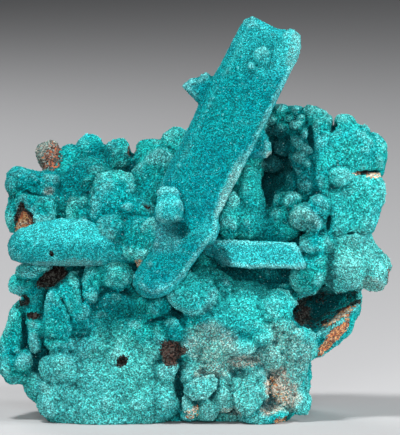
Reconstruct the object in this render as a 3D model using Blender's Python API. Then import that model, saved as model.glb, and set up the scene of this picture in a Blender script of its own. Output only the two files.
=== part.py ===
"""Rosasite with azurite: a hand specimen of botryoidal crust on gossan, with three coated blade crystals.

Every place is given as the display side shows it: millimetres across from the middle, millimetres up,
and the true depth, which is negative towards the viewer. The display side is measured from a little
above level, and place() turns such a place into a point in metres, with +Z up and the origin on the
middle of the flat foot.
"""

import math

import bmesh
import bpy
from mathutils import Matrix, Vector

MM = 0.001

# How the display side is measured
LOOK_DOWN = math.radians(6)  # the eye looks down on the specimen by this much
FOOT_DEPTH = -17.0  # depth of the front of the foot, in mm
FOOT_UP = -0.8  # where the front of the foot shows, in mm

# Fineness of the crust
LUMP_ROUNDS = 3  # subdivisions of the ball behind each lump
CRUST_STEP = 0.62 * MM  # grid on which the lumps grow together
CRUST_SHARE = 0.056  # share of that grid's faces that the finished crust keeps
SEAT_GAP = 0.35 * MM  # clearance between a crystal and its seat

# Corners of the gossan core, as (across, up, depth) in mm. Each list is one convex block of rock
LOWER_CORE = [
    (-30, 0, -10), (17, -1, -12), (19.5, 8, -8), (-33, 9, -8), (-34, 27, -8), (21, 27, -9),
    (-27, -4, 13), (19, -4, 14), (21, 20, 13), (-31, 24, 11), (-8, 8, 18), (10, 26, 17),
    (-20, -4, 16), (13, -4, 17), (22, 14, 2), (-10, 27, 18),
]
LEFT_CORE = [
    (-34, 20, -6), (-35, 44, -3), (-33, 46, 3), (-31, 16, 11), (-34, 40, 8), (-24, 49, 0),
    (-22, 48, 9), (-4, 53, 1), (-3, 51, 11), (0, 14, 15), (3, 27, -10), (-5, 50, -4),
    (-18, 22, -9), (-18, 40, -8), (-14, 38, 17), (-22, 30, 15),
]
MIDDLE_CORE = [
    (-4, 18, -9), (22, 24, -7), (-4, 54, 0), (13, 57, 4), (20, 54, 4), (-3, 50, 13),
    (17, 50, 14), (22, 16, 14), (-2, 14, 18), (9, 42, -7), (6, 40, 19), (18, 40, -4),
]
RIGHT_CORE = [
    (21, 26, -3), (33, 27, -3), (22, 41, -7), (34, 45, -6), (35, 57, -3), (27, 58, -4),
    (20, 59, -1), (19, 57, 9), (33, 53, 8), (32, 32, 8), (18, 16, 12), (27, 40, 13), (30, 24, 2),
]
# The two plates at the lower right: the one the broken ledge stands on, and the ledge
LEDGE_CORE = [
    (20, 12, -9), (24.4, 13, -8), (26, 14.2, -6), (30.2, 17.4, -5), (32.2, 24.2, -4), (28.4, 20.2, -8.5),
    (23, 17.0, -10.5), (21, 15.4, -10), (22, 13, 4), (28, 20, 6), (19, 20, 4), (32.0, 24.6, 2),
]
FRONT_PLATE = [
    (-3.4, 7.0, -16.9), (-1.0, 8.6, -17.0), (2.4, 9.3, -16.6), (3.8, 8.4, -16.4), (3.4, 6.4, -16.9),
    (1.6, 4.4, -17.3), (-1.6, 4.0, -17.4), (-3.3, 5.2, -17.3), (-2.4, 6.4, -12), (2.6, 7.4, -12),
    (0.0, 5.0, -12),
]
# The broken steps of the back
BACK_STEPS = [
    [
        (-30, 43, 6), (-22, 46, 8), (-16, 45, 13), (-28, 39, 11), (-31, 30, 9), (-18, 29, 16.5),
        (-14, 36, 16.5), (-24, 34, 15), (-20, 43, 2), (-28, 30, 3),
    ],
    [
        (-14, 48, 6), (2, 50, 10), (6, 47, 15), (-10, 46, 15), (-12, 34, 17.6), (4, 32, 19.6),
        (8, 40, 17.6), (-4, 41, 18.4), (-8, 33, 7), (4, 35, 7),
    ],
    [
        (4, 48, 10), (20, 53, 8), (29, 49, 8), (25, 43, 13), (10, 45, 16), (20, 34, 15.6),
        (28, 34, 11), (8, 33, 17.6), (16, 39, 5), (24, 38, 3),
    ],
    [
        (-31, 30, 8), (-16, 32, 15.6), (-12, 20, 18.6), (-27, 16, 14), (-30, 18, 10),
        (-20, 11, 16.6), (-14, 26, 18), (-24, 24, 3),
    ],
    [
        (-4, 33, 17.6), (12, 34, 17.4), (20, 26, 14), (15, 13, 16.4), (2, 11, 18.2), (-6, 18, 18.6),
        (8, 24, 19.4), (8, 22, 5),
    ],
    [
        (6, 15, 17), (17, 16, 13.4), (18.6, 4, 12.6), (10, -3, 16.4), (3, 3, 17.4), (12, 8, 3),
    ],
]
CORES = [LOWER_CORE, LEFT_CORE, MIDDLE_CORE, RIGHT_CORE, LEDGE_CORE, FRONT_PLATE, *BACK_STEPS]

# Lumps of crust, each as (across, up, depth), (radius across, radius up, radius in depth), roll.
# Roll is in degrees, anticlockwise as the display side shows it
TOP_LEFT_CREST = [
    ((-30.3, 53.0, 0.5), (2.2, 2.9, 2.3), 0),
    ((-29.8, 50.2, 0.0), (1.9, 2.4, 2.2), 0),
    ((-26.4, 50.6, 2.0), (3.4, 4.2, 4.4), 0),
    ((-22.0, 54.2, 1.0), (2.6, 2.8, 3.2), -15),
    ((-22.0, 48.8, -1.5), (4.8, 4.2, 4.4), 5),
    ((-16.2, 52.4, 0.0), (3.4, 3.8, 4.0), 10),
    ((-9.8, 52.8, -0.5), (3.8, 3.6, 4.2), 20),
    ((-5.2, 56.3, 0.0), (2.4, 2.4, 2.8), 0),
    ((-4.0, 53.6, -1.0), (3.4, 3.6, 4.0), 0),
    ((1.0, 55.0, 3.0), (5.0, 4.0, 5.0), 0),
    ((8.5, 57.0, 4.0), (4.6, 3.6, 4.6), 0),
]
UPPER_LEFT_WALL = [
    ((-36.2, 47.6, -3.5), (2.3, 2.9, 3.6), 0),
    ((-24.6, 42.2, -7.5), (2.4, 2.4, 2.6), 0),
    ((-31.0, 42.0, -6.8), (2.7, 2.4, 3.0), 12),
    ((-26.8, 43.2, -5.0), (2.6, 3.4, 3.4), 0),
    ((-37.3, 41.6, -3.6), (1.3, 3.9, 3.0), -4),
    ((-34.4, 40.6, -2.6), (3.0, 5.0, 4.4), 0),
    ((-9.6, 47.4, -5.6), (4.2, 7.0, 4.4), -22),
    ((-12.8, 41.2, -9.4), (4.4, 4.6, 3.6), 20),
    ((-8.6, 36.4, -10.4), (3.8, 4.4, 3.6), 0),
    ((-15.6, 38.2, -10.4), (4.4, 3.0, 3.2), 0),
    ((-14.4, 42.2, -12.0), (1.3, 1.2, 1.4), 0),
]
UNDER_LEFT_CRYSTAL = [
    ((-33.4, 30.0, -10.0), (3.6, 1.5, 3.4), 6),
    ((-35.6, 27.0, -8.6), (2.5, 2.1, 3.2), 0),
    ((-33.0, 22.6, -7.6), (2.6, 4.8, 4.0), 6),
    ((-17.0, 28.8, -10.8), (3.8, 3.0, 3.2), 0),
    ((-15.4, 23.4, -10.0), (7.0, 3.6, 4.0), 0),
    ((-8.4, 22.0, -11.0), (3.0, 3.4, 3.2), -10),
    ((-32.6, 17.2, -11.2), (1.8, 3.4, 2.6), 0),
]
LEFT_FOOT = [
    ((-35.4, 16.0, -4.0), (3.0, 8.0, 5.0), 0),
    ((-35.5, 11.8, -9.8), (2.2, 2.3, 2.8), 0),
    ((-38.4, 11.6, -8.4), (1.8, 3.1, 2.8), 0),
    ((-36.8, 9.2, -7.0), (2.4, 1.8, 3.4), 0),
    ((-32.6, 6.8, -8.0), (2.4, 3.8, 4.0), 30),
]
LOWER_WALL = [
    ((-27.6, 15.4, -12.6), (3.4, 2.4, 2.6), 0),
    ((-28.0, 10.8, -13.0), (4.0, 3.0, 3.2), 4),
    ((-21.6, 14.4, -12.6), (3.2, 3.6, 3.0), 0),
    ((-17.0, 9.0, -6.0), (13.4, 11.6, 10.6), 0),
    ((-26.0, 5.4, -9.0), (7.2, 5.0, 6.4), 0),
    ((-12.0, 16.0, -10.0), (7.4, 5.0, 5.6), 0),
    ((-8.2, 16.8, -13.6), (2.1, 2.4, 2.4), 0),
    ((-5.3, 18.4, -13.8), (1.6, 2.8, 2.2), 14),
    ((-6.2, 10.0, -14.2), (2.6, 2.1, 2.4), 0),
    ((-28.0, 3.4, -12.0), (4.8, 3.2, 3.6), 0),
    ((-20.0, 3.2, -13.4), (4.4, 3.0, 3.4), 0),
    ((-13.2, 3.0, -13.8), (3.4, 2.8, 3.2), 0),
    ((-7.4, 4.4, -13.6), (2.9, 4.4, 3.4), 0),
]
LOWER_RIGHT = [
    ((-1.2, 9.8, -13.6), (2.6, 3.0, 2.8), 0),
    ((1.6, 2.4, -13.6), (2.2, 2.4, 2.8), 0),
    ((-2.2, 2.4, -13.4), (1.8, 2.6, 2.6), 0),
    ((3.6, 10.0, -14.0), (3.0, 2.8, 2.8), 0),
    ((5.0, 4.4, -13.8), (2.0, 3.0, 2.6), 0),
    ((11.0, 9.6, -15.0), (2.8, 2.4, 2.8), 0),
    ((16.8, 6.4, -10.8), (3.4, 4.0, 3.8), 0),
    ((19.6, 4.2, -10.8), (1.9, 2.8, 2.6), -12),
    ((12.8, 1.0, -13.0), (5.0, 1.8, 3.6), 4),
    ((8.2, 15.0, -14.4), (2.6, 1.7, 2.4), 0),
    ((12.2, 16.6, -14.0), (2.8, 2.0, 2.4), 0),
    ((20.0, 14.2, -11.2), (3.4, 3.6, 3.8), 0),
    ((20.2, 17.0, -12.8), (2.6, 1.6, 2.4), 0),
    ((14.4, 13.2, -13.0), (3.4, 3.0, 3.2), 0),
    ((18.2, 9.8, -10.8), (3.4, 2.8, 3.4), 20),
    ((4.0, 14.4, -10.2), (6.0, 5.6, 5.6), 0),
]
MIDDLE_WALL = [
    ((8.0, 21.0, -8.4), (11.2, 6.8, 7.2), -4),
    ((-2.0, 25.8, -13.4), (4.2, 3.9, 3.2), 10),
    ((4.4, 27.4, -10.8), (3.6, 1.8, 2.8), -6),
    ((1.6, 19.0, -12.2), (4.4, 3.6, 3.2), 0),
    ((15.4, 22.4, -12.0), (3.8, 3.6, 3.4), 0),
    ((10.6, 18.6, -13.6), (3.0, 2.2, 2.4), 0),
    ((21.0, 29.0, -9.6), (2.5, 3.9, 3.8), 0),
    ((22.6, 30.0, -11.0), (1.5, 3.6, 2.6), -6),
]
ABOVE_RIGHT_CRYSTAL = [
    ((10.2, 45.2, -8.2), (2.7, 5.8, 3.4), 4),
    ((5.8, 40.4, -10.4), (2.6, 4.6, 2.8), 0),
    ((9.6, 39.4, -9.4), (3.2, 3.4, 3.0), 0),
    ((6.6, 43.6, -12.0), (1.2, 1.5, 1.4), 0),
    ((15.4, 38.6, -7.0), (4.6, 3.4, 3.4), 0),
    ((15.9, 41.2, -8.4), (2.1, 2.2, 2.4), 15),
    ((15.6, 44.2, -8.4), (1.5, 1.4, 1.8), 0),
    ((18.2, 43.8, -9.0), (1.9, 1.6, 2.0), 0),
    ((22.2, 41.2, -10.2), (4.0, 3.7, 3.6), 0),
    ((17.8, 46.8, -2.4), (1.7, 2.6, 3.2), 0),
    ((23.0, 35.2, -9.4), (2.8, 2.3, 3.0), 0),
]
RIGHT_BALLS = [
    ((30.0, 36.4, -8.2), (3.9, 3.2, 4.2), 0),
    ((29.2, 31.0, -8.6), (4.4, 6.0, 4.8), 0),
    ((34.2, 29.2, -6.0), (3.7, 4.7, 4.6), 0),
    ((29.0, 24.6, 4.6), (3.4, 5.4, 4.6), 0),
]
UPPER_RIGHT_SLABS = [
    ((28.6, 58.8, -4.6), (2.4, 2.2, 3.0), 0),
    ((34.6, 52.6, -4.6), (2.5, 4.8, 3.6), 0),
    ((28.6, 40.6, -8.8), (3.0, 3.6, 3.4), 0),
    ((27.6, 48.8, -11.2), (2.2, 2.1, 2.2), 0),
    ((23.2, 53.0, -7.4), (1.7, 7.0, 3.2), 0),
    ((20.2, 55.4, -5.2), (1.7, 5.2, 3.2), 0),
    ((23.4, 47.0, -7.4), (2.4, 3.6, 3.0), 0),
]
RIM_BALLS = [
    ((15.8, 60.6, -2.4), (2.0, 2.0, 2.4), 0),
    ((18.8, 61.1, -3.2), (1.7, 1.7, 2.0), 0),
    ((21.7, 60.7, -4.0), (1.8, 1.7, 2.0), 0),
    ((23.7, 60.9, -4.6), (1.2, 1.2, 1.4), 0),
    ((25.2, 59.3, -4.8), (1.3, 1.3, 1.6), 0),
    ((17.4, 57.8, 0.6), (4.2, 3.6, 4.0), 0),
    ((14.4, 55.0, 5.0), (4.6, 5.0, 4.4), 0),
]
BACK_OF_CREST = [
    ((-29.4, 40.2, 6.0), (3.0, 4.6, 4.2), 0),
    ((-25.4, 46.2, 4.6), (4.4, 3.2, 4.6), 20),
    ((-19.0, 45.4, 9.6), (3.2, 2.4, 2.8), 0),
    ((-15.4, 50.2, 6.4), (4.6, 3.2, 4.4), -10),
    ((-9.6, 48.2, 11.0), (4.4, 3.6, 3.6), 0),
    ((-3.6, 52.6, 6.2), (3.0, 2.6, 3.6), 10),
    ((-1.6, 48.6, 13.0), (2.6, 2.2, 2.4), 10),
    ((5.6, 51.8, 9.6), (4.8, 3.6, 4.4), 0),
    ((11.4, 47.8, 14.2), (3.4, 2.8, 2.8), 0),
    ((14.6, 53.4, 9.2), (3.4, 3.2, 4.0), 0),
    ((21.4, 54.6, 5.4), (4.2, 3.8, 4.2), 0),
    ((24.8, 49.6, 9.8), (2.8, 3.0, 2.6), 0),
    ((29.6, 53.4, 3.8), (3.6, 4.0, 4.2), 0),
    ((31.6, 46.0, 5.6), (2.6, 4.4, 3.6), 0),
]
SIDE_CRUST = [
    ((-33.2, 36.0, 3.0), (2.8, 4.6, 4.4), 0),
    ((-31.6, 29.0, 5.6), (3.2, 4.0, 4.2), 0),
    ((-33.0, 24.0, 2.0), (2.8, 4.0, 4.4), 0),
    ((-31.0, 18.0, 7.4), (3.2, 4.0, 3.8), 0),
    ((-30.0, 10.0, 6.4), (3.4, 4.4, 4.4), 0),
    ((-28.6, 4.4, 2.0), (3.6, 3.8, 4.4), 0),
    ((32.4, 41.0, 2.0), (2.8, 4.6, 4.2), 0),
    ((31.4, 34.4, 4.4), (3.2, 4.2, 4.0), 0),
    ((19.4, 9.0, 1.0), (2.4, 4.4, 4.4), 0),
    ((18.6, 4.0, 4.4), (2.6, 3.4, 4.0), 0),
    ((20.0, 14.4, 8.0), (2.8, 3.8, 3.8), 0),
]
BACK_PATCH = [
    ((-10.0, 30.0, 16.6), (4.2, 3.4, 2.8), 0),
    ((-5.0, 27.0, 17.4), (3.8, 3.4, 2.8), 0),
    ((-9.0, 24.0, 17.0), (3.2, 3.0, 2.8), 0),
    ((-1.0, 30.6, 17.4), (3.0, 2.8, 2.6), 0),
    ((-14.6, 26.4, 16.6), (3.0, 3.6, 2.6), 0),
]
LUMPS = (
    TOP_LEFT_CREST + UPPER_LEFT_WALL + UNDER_LEFT_CRYSTAL + LEFT_FOOT + LOWER_WALL + LOWER_RIGHT
    + MIDDLE_WALL + ABOVE_RIGHT_CRYSTAL + RIGHT_BALLS + UPPER_RIGHT_SLABS + RIM_BALLS + BACK_OF_CREST
    + SIDE_CRUST + BACK_PATCH
)

# Lumps with flat faces: coated crystals, in the same form as the other lumps
PLATES = [
    ((-33.0, 47.3, -4.6), (4.9, 2.8, 4.4), -5),
    ((-32.4, 44.2, -5.2), (4.4, 1.9, 4.0), 0),
    ((-16.6, 43.8, -8.6), (4.7, 5.7, 3.2), -4),
    ((-26.0, 23.4, -12.0), (3.4, 7.0, 2.8), -24),
    ((-21.6, 28.2, -12.8), (1.5, 3.5, 2.6), -16),
    ((-37.7, 17.4, -8.8), (1.5, 5.3, 2.0), -19),
    ((9.2, 6.4, -14.8), (3.1, 4.9, 3.0), 2),
    ((29.4, 52.6, -6.2), (5.4, 6.2, 3.8), 0),
    ((30.8, 43.8, -7.6), (5.4, 6.4, 4.0), -8),
    ((20.4, 3.8, -10.2), (1.4, 2.2, 2.0), -12),
]
PLATE_POWER = 4.0  # 2 would be an ellipsoid, and higher powers are closer to a box

# Hollows in the crust, in the same form as the lumps
HOLLOWS = [
    ((15.6, 52.0, -8.4), (3.3, 6.6, 8.0), 0),
    ((13.6, 48.6, -6.0), (1.5, 3.6, 9.0), 0),
    ((23.8, 22.2, -11.0), (6.0, 3.0, 10.0), 10),
    ((29.6, 24.6, -11.0), (3.6, 1.1, 8.0), 24),
    ((-29.4, 28.8, -12.4), (3.8, 1.7, 7.0), 20),
    ((-35.0, 23.8, -10.0), (1.3, 1.2, 4.0), 0),
    ((-34.8, 17.6, -11.6), (0.7, 4.4, 4.0), 0),
    ((-6.0, 13.4, -16.0), (2.2, 2.3, 2.2), 0),
    ((-16.0, 11.8, -16.4), (1.3, 1.1, 3.0), -20),
    ((-4.0, 5.6, -16.0), (0.6, 5.2, 4.4), 4),
    ((-13.4, 54.2, -1.0), (0.8, 1.8, 5.0), 0),
    ((26.5, 59.6, -5.0), (0.8, 1.9, 7.0), 0),
    ((25.2, 39.6, -11.6), (0.7, 3.4, 4.6), 0),
    ((24.8, 32.8, -10.6), (0.7, 3.4, 4.4), 0),
    ((32.6, 49.6, -9.0), (3.6, 0.7, 4.4), 0),
    ((14.0, 7.0, -14.8), (0.7, 2.4, 3.0), 0),
    ((-34.2, 40.8, -8.8), (2.2, 2.4, 2.0), 0),
    ((-10.4, 20.2, -15.4), (5.0, 0.8, 4.0), 8),
]

# Blade crystals: outline as (across, up, width of the slanting edge there), in mm, clockwise from
# the upper left corner. The spine is the line along its middle that the edges slant in towards
LONG_OUTLINE = [
    (8.0, 78.4, 1.6), (9.0, 79.7, 1.4), (10.4, 80.4, 1.3), (11.8, 79.8, 1.3), (14.0, 78.6, 1.5),
    (15.6, 77.9, 1.5), (17.0, 77.8, 1.5), (18.3, 77.0, 1.4), (19.4, 75.4, 1.2), (19.8, 73.6, 1.1),
    (19.4, 72.0, 1.0), (18.0, 69.6, 0.9), (16.0, 65.4, 0.9), (14.0, 61.4, 0.9), (12.4, 58.0, 0.9),
    (10.9, 54.8, 0.9), (8.8, 51.2, 0.9), (7.4, 48.2, 0.9), (6.2, 46.0, 0.9), (4.5, 42.7, 1.0),
    (3.7, 41.0, 1.0), (3.5, 39.0, 1.0), (2.8, 36.8, 1.2), (1.0, 34.6, 1.2), (-1.4, 31.4, 1.2),
    (-3.0, 29.0, 1.2), (-4.6, 26.8, 1.2), (-6.2, 25.4, 1.3), (-8.0, 24.7, 1.4), (-9.6, 24.4, 1.4),
    (-11.2, 24.8, 1.5), (-12.5, 25.8, 1.6), (-13.2, 27.2, 1.7), (-13.2, 28.8, 1.7),
    (-12.4, 30.2, 1.7), (-10.7, 33.2, 1.7), (-9.9, 36.8, 1.8), (-9.2, 40.4, 1.8), (-8.5, 44.0, 1.8),
    (-7.7, 47.2, 1.9), (-6.1, 51.1, 1.9), (-4.4, 54.2, 1.9), (-2.5, 57.8, 1.9), (-1.3, 60.3, 1.9),
    (0.0, 63.2, 1.9), (1.2, 65.8, 1.8), (2.8, 68.6, 1.8), (4.3, 71.3, 1.8), (5.8, 74.2, 1.8),
    (7.2, 76.8, 1.7),
]
LONG_SPINE = ((-8.6, 29.6), (13.2, 73.6))
LONG_THICK = 6.4  # between its two broad faces
LONG_DEPTH_LOW = (27.0, -17.0)  # (up, depth of its middle) near the lower tip
LONG_DEPTH_HIGH = (78.0, -10.5)  # and near the upper end

# Beside it on the left, a small crystal of which only the pointed end shows
SMALL_OUTLINE = [
    (-3.4, 66.6, 0.6), (-2.0, 67.9, 0.7), (-0.4, 68.2, 0.7), (1.2, 69.3, 0.8), (3.4, 67.4, 0.8),
    (5.6, 65.0, 0.6), (4.4, 62.0, 0.6), (1.6, 61.4, 0.6), (-0.8, 63.8, 0.8),
]
SMALL_SPINE = ((-0.4, 66.4), (3.2, 64.4))
SMALL_THICK = 3.0
SMALL_DEPTH = -11.4

# The spur at its right edge
SPUR_OUTLINE = [
    (8.6, 59.6, 0.5), (11.2, 59.4, 0.6), (13.0, 57.2, 0.8), (14.1, 54.8, 0.9), (14.1, 53.4, 0.9),
    (13.2, 52.5, 0.9), (11.0, 52.4, 0.9), (8.2, 52.8, 0.5),
]
SPUR_SPINE = ((9.6, 57.6), (12.0, 54.4))
SPUR_THICK = 3.8
SPUR_DEPTH = -12.8

# Lumps on the long crystal: the knob at its left edge, and two warts near its upper end
OUTGROWTHS = [
    ((-6.2, 42.6, -18.4), (2.3, 3.3, 2.4), -8),
    ((12.4, 72.4, -14.1), (1.8, 1.8, 0.7), 0),
    ((10.3, 70.4, -14.4), (0.8, 0.8, 0.6), 0),
]

# Rings of a flat crystal from its front face to its back: which side of its middle each is on, and
# how much of the slanting edge's width it is set in by
TABLET_RINGS = [(-1, 1.0), (-1, 0.3), (-1, 0.0), (1, 0.0), (1, 0.3), (1, 1.0)]
EDGE_STEEPNESS = 1.2  # how far a slanting edge drops back, for its width
EDGE_ROUNDNESS = 1.5  # 1 would be a plain slant
LEAST_EDGE = 0.4  # half of the flat rim that is left between the two slanting edges

# The left crystal, a thick rounded blade that lies level: full near its free end and slim where it
# is buried. Each row is (across, up of its middle, depth of its middle, half height, half depth)
LEFT_STATIONS = [
    (-38.0, 34.8, -13.0, 0.9, 1.2),
    (-37.4, 34.9, -13.0, 2.0, 2.2),
    (-36.0, 35.0, -13.0, 3.0, 3.2),
    (-33.0, 35.1, -13.1, 4.0, 4.0),
    (-28.0, 35.6, -13.2, 4.7, 4.3),
    (-23.0, 35.7, -13.2, 4.7, 4.3),
    (-20.4, 35.0, -13.0, 3.9, 3.9),
    (-17.0, 34.0, -12.6, 2.8, 3.2),
    (-13.0, 33.4, -12.0, 2.0, 2.4),
    (-10.6, 33.2, -11.6, 1.3, 1.6),
]
LEFT_SIDES = 16  # corners of its cross-section
LEFT_FULLNESS = 0.8  # 1 would be an ellipse, and less is squarer
LEFT_SAG = 0.21  # its foremost line lies this share of the half height under its middle

# The right crystal, a thinner blade with a sharp lower edge and a slanting end. Each row is
# (across, up of its top, up of its foot, front depth, back depth)
RIGHT_STATIONS = [
    (0.6, 35.0, 33.6, -13.0, -9.0),
    (2.6, 35.9, 32.4, -15.0, -8.2),
    (4.6, 35.9, 31.0, -16.4, -8.0),
    (10.0, 35.7, 30.6, -16.8, -8.0),
    (17.0, 35.5, 30.4, -16.6, -8.0),
    (19.6, 35.3, 30.4, -16.0, -8.2),
    (21.0, 33.6, 30.5, -15.0, -8.8),
]
RIGHT_CHAMFER = 0.8  # widest cut of its corners
CHAMFER_SHARE = 0.3  # of its height at most
RIGHT_LEAN = 0.22  # its front leans back by this share of its height

GROUND_SIZE = 160.0  # of the block that cuts the foot flat
SOFTENING = 2  # passes that round the grown crust


def place(across, up, depth):
    """The point in metres that the display side shows at (across, up), at that depth."""
    rise = up - FOOT_UP + (FOOT_DEPTH - depth) * math.sin(LOOK_DOWN)
    return Vector((across, depth, rise / math.cos(LOOK_DOWN))) * MM


def clear_scene():
    for old in list(bpy.data.objects):
        bpy.data.objects.remove(old)


def finish(name, colour, roughness):
    material = bpy.data.materials.new(name)
    material.use_nodes = True
    shader = material.node_tree.nodes["Principled BSDF"]
    shader.inputs["Base Color"].default_value = (*colour, 1.0)
    shader.inputs["Roughness"].default_value = roughness
    return material


def object_from(shape, name, material=None):
    """An object in the scene that holds the bmesh, with its faces pointing out."""
    bmesh.ops.recalc_face_normals(shape, faces=shape.faces)
    mesh = bpy.data.meshes.new(name)
    shape.to_mesh(mesh)
    shape.free()
    made = bpy.data.objects.new(name, mesh)
    bpy.context.scene.collection.objects.link(made)
    if material:
        mesh.materials.append(material)
    return made


def guide(made):
    """Marks a cutter or a half-made form, which isn't a piece of the specimen."""
    made.hide_render = True
    made.display_type = "WIRE"
    return made


def add_lump(shape, centre, radii, roll, power=2.0):
    """A ball stretched to the three radii, turned in the plane of the display side. A higher power
    gives it flatter sides."""
    made = bmesh.ops.create_icosphere(shape, subdivisions=LUMP_ROUNDS, radius=1.0)
    for point in made["verts"]:
        reach = sum(abs(part) ** power for part in point.co) ** (1 / power)
        point.co = point.co / reach
    across, up, deep = (radius * MM for radius in radii)
    turned = Matrix.Rotation(math.radians(-roll), 4, "Y")
    stretched = Matrix.Diagonal((across, deep, up, 1.0))
    placed = Matrix.Translation(place(*centre)) @ turned @ stretched
    bmesh.ops.transform(shape, matrix=placed, verts=made["verts"])


def add_block(shape, corners):
    """The convex block of rock through those corners."""
    points = [shape.verts.new(place(*corner)) for corner in corners]
    made = bmesh.ops.convex_hull(shape, input=points)
    spare = [item for item in made["geom_interior"] if isinstance(item, bmesh.types.BMVert)]
    bmesh.ops.delete(shape, geom=spare, context="VERTS")


def add_remesh(made):
    """Grows overlapping forms together into one skin."""
    remesh = made.modifiers.new("grow together", "REMESH")
    remesh.mode = "VOXEL"
    remesh.voxel_size = CRUST_STEP


def add_boolean(made, other, operation):
    boolean = made.modifiers.new(f"{operation.lower()} {other.name}", "BOOLEAN")
    boolean.operation = operation
    boolean.solver = "EXACT"
    boolean.object = other


def skin(rings, name, material):
    """A solid through rings of points that all have as many corners, closed at both ends."""
    shape = bmesh.new()
    loops = [[shape.verts.new(point) for point in ring] for ring in rings]
    for loop, following in zip(loops, loops[1:]):
        for index, corner in enumerate(loop):
            after = (index + 1) % len(loop)
            shape.faces.new((corner, loop[after], following[after], following[index]))
    shape.faces.new(loops[0])
    shape.faces.new(list(reversed(loops[-1])))
    return object_from(shape, name, material)


def nearest_on(spine, point):
    """The point of the spine that is nearest to that point, as (across, up)."""
    start, end = Vector(spine[0]), Vector(spine[1])
    along = (Vector(point) - start).dot(end - start) / (end - start).length_squared
    return start.lerp(end, min(max(along, 0.0), 1.0))


def tablet(name, outline, spine, depth_at, thick, material=None):
    """A flat crystal: its outline, thickened about depth_at(up), with edges that slant in to its two
    broad faces."""
    rings = []
    for side, inset in TABLET_RINGS:
        ring = []
        for across, up, edge in outline:
            rim = Vector((across, up))
            inward = (nearest_on(spine, rim) - rim).normalized()
            spot = rim + inward * edge * inset
            drop = edge * (1.0 - inset) ** EDGE_ROUNDNESS * EDGE_STEEPNESS
            depth = depth_at(up) + side * max(thick / 2 - drop, LEAST_EDGE)
            ring.append(place(spot.x, spot.y, depth))
        rings.append(ring)
    return skin(rings, name, material)


def rounded_ring(across, middle_up, middle_depth, half_up, half_deep):
    """A cross-section of the left crystal."""
    ring = []
    for side in range(LEFT_SIDES):
        angle = 2 * math.pi * side / LEFT_SIDES
        up = math.sin(angle)
        deep = -math.copysign(abs(math.cos(angle)) ** LEFT_FULLNESS, math.cos(angle))
        sag = LEFT_SAG * (1 - up * up) if deep < 0 else 0.0
        ring.append(place(across, middle_up + (up - sag) * half_up, middle_depth + deep * half_deep))
    return ring


def slab_ring(across, top, foot, front, back):
    """A cross-section of the right crystal, whose front leans back towards its top."""
    cut = min(RIGHT_CHAMFER, (top - foot) * CHAMFER_SHARE)
    upper_front = front + RIGHT_LEAN * (top - foot)
    corners = [
        (top - cut, upper_front), (foot + cut, front), (foot, front + cut), (foot, back - cut),
        (foot + cut, back), (top - cut, back), (top, back - cut), (top, upper_front + cut),
    ]
    return [place(across, up, depth) for up, depth in corners]


def long_depth(up):
    """Depth of the long crystal's middle, which leans back towards its upper end."""
    (low_up, low_depth), (high_up, high_depth) = LONG_DEPTH_LOW, LONG_DEPTH_HIGH
    return low_depth + (high_depth - low_depth) * (up - low_up) / (high_up - low_up)


def seat_cutter(crystal):
    """A copy of a crystal, larger all round by the clearance."""
    cutter = guide(bpy.data.objects.new(f"{crystal.name} seat", crystal.data.copy()))
    bpy.context.scene.collection.objects.link(cutter)
    for modifier in crystal.modifiers:
        add_boolean(cutter, modifier.object, "UNION")
    swell = cutter.modifiers.new("clearance", "DISPLACE")
    swell.strength = SEAT_GAP
    swell.mid_level = 0.0
    return cutter


clear_scene()
crust_finish = finish("rosasite crust", (0.03, 0.42, 0.40), 0.85)
blade_finish = finish("coated azurite", (0.02, 0.40, 0.42), 0.8)

# The long crystal, and what has grown together with it
long_crystal = tablet("long_crystal", LONG_OUTLINE, LONG_SPINE, long_depth, LONG_THICK, blade_finish)
grown_on = [
    tablet("small crystal", SMALL_OUTLINE, SMALL_SPINE, lambda up: SMALL_DEPTH, SMALL_THICK),
    tablet("spur", SPUR_OUTLINE, SPUR_SPINE, lambda up: SPUR_DEPTH, SPUR_THICK),
]
for number, outgrowth in enumerate(OUTGROWTHS):
    bump = bmesh.new()
    add_lump(bump, *outgrowth)
    grown_on.append(object_from(bump, f"outgrowth {number}"))
for form in grown_on:
    add_boolean(long_crystal, guide(form), "UNION")

left_crystal = skin([rounded_ring(*row) for row in LEFT_STATIONS], "left_crystal", blade_finish)
right_crystal = skin([slab_ring(*row) for row in RIGHT_STATIONS], "right_crystal", blade_finish)

# The matrix: blocks of gossan and the lumps of crust that cover them, grown together
mass = bmesh.new()
for core in CORES:
    add_block(mass, core)
for lump in LUMPS:
    add_lump(mass, *lump)
for plate in PLATES:
    add_lump(mass, *plate, power=PLATE_POWER)
matrix = object_from(mass, "matrix", crust_finish)

pits = bmesh.new()
for hollow in HOLLOWS:
    add_lump(pits, *hollow)
hollows = guide(object_from(pits, "hollows"))
add_remesh(hollows)

below = bmesh.new()
under_foot = Matrix.Translation((0, 0, -GROUND_SIZE / 2 * MM))
bmesh.ops.create_cube(below, size=GROUND_SIZE * MM, matrix=under_foot)
ground = guide(object_from(below, "below the foot"))

add_remesh(matrix)
add_boolean(matrix, hollows, "DIFFERENCE")
add_remesh(matrix)
soften = matrix.modifiers.new("soften", "SMOOTH")
soften.factor = 0.5
soften.iterations = SOFTENING
thin = matrix.modifiers.new("fewer faces", "DECIMATE")
thin.ratio = CRUST_SHARE
add_boolean(matrix, ground, "DIFFERENCE")
for crystal in (long_crystal, left_crystal, right_crystal):
    add_boolean(matrix, seat_cutter(crystal), "DIFFERENCE")
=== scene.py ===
"""Rosasite with azurite: a hand specimen of turquoise druse on iron-stained rock, crossed by three
coated blades."""

import itertools
import math

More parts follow.
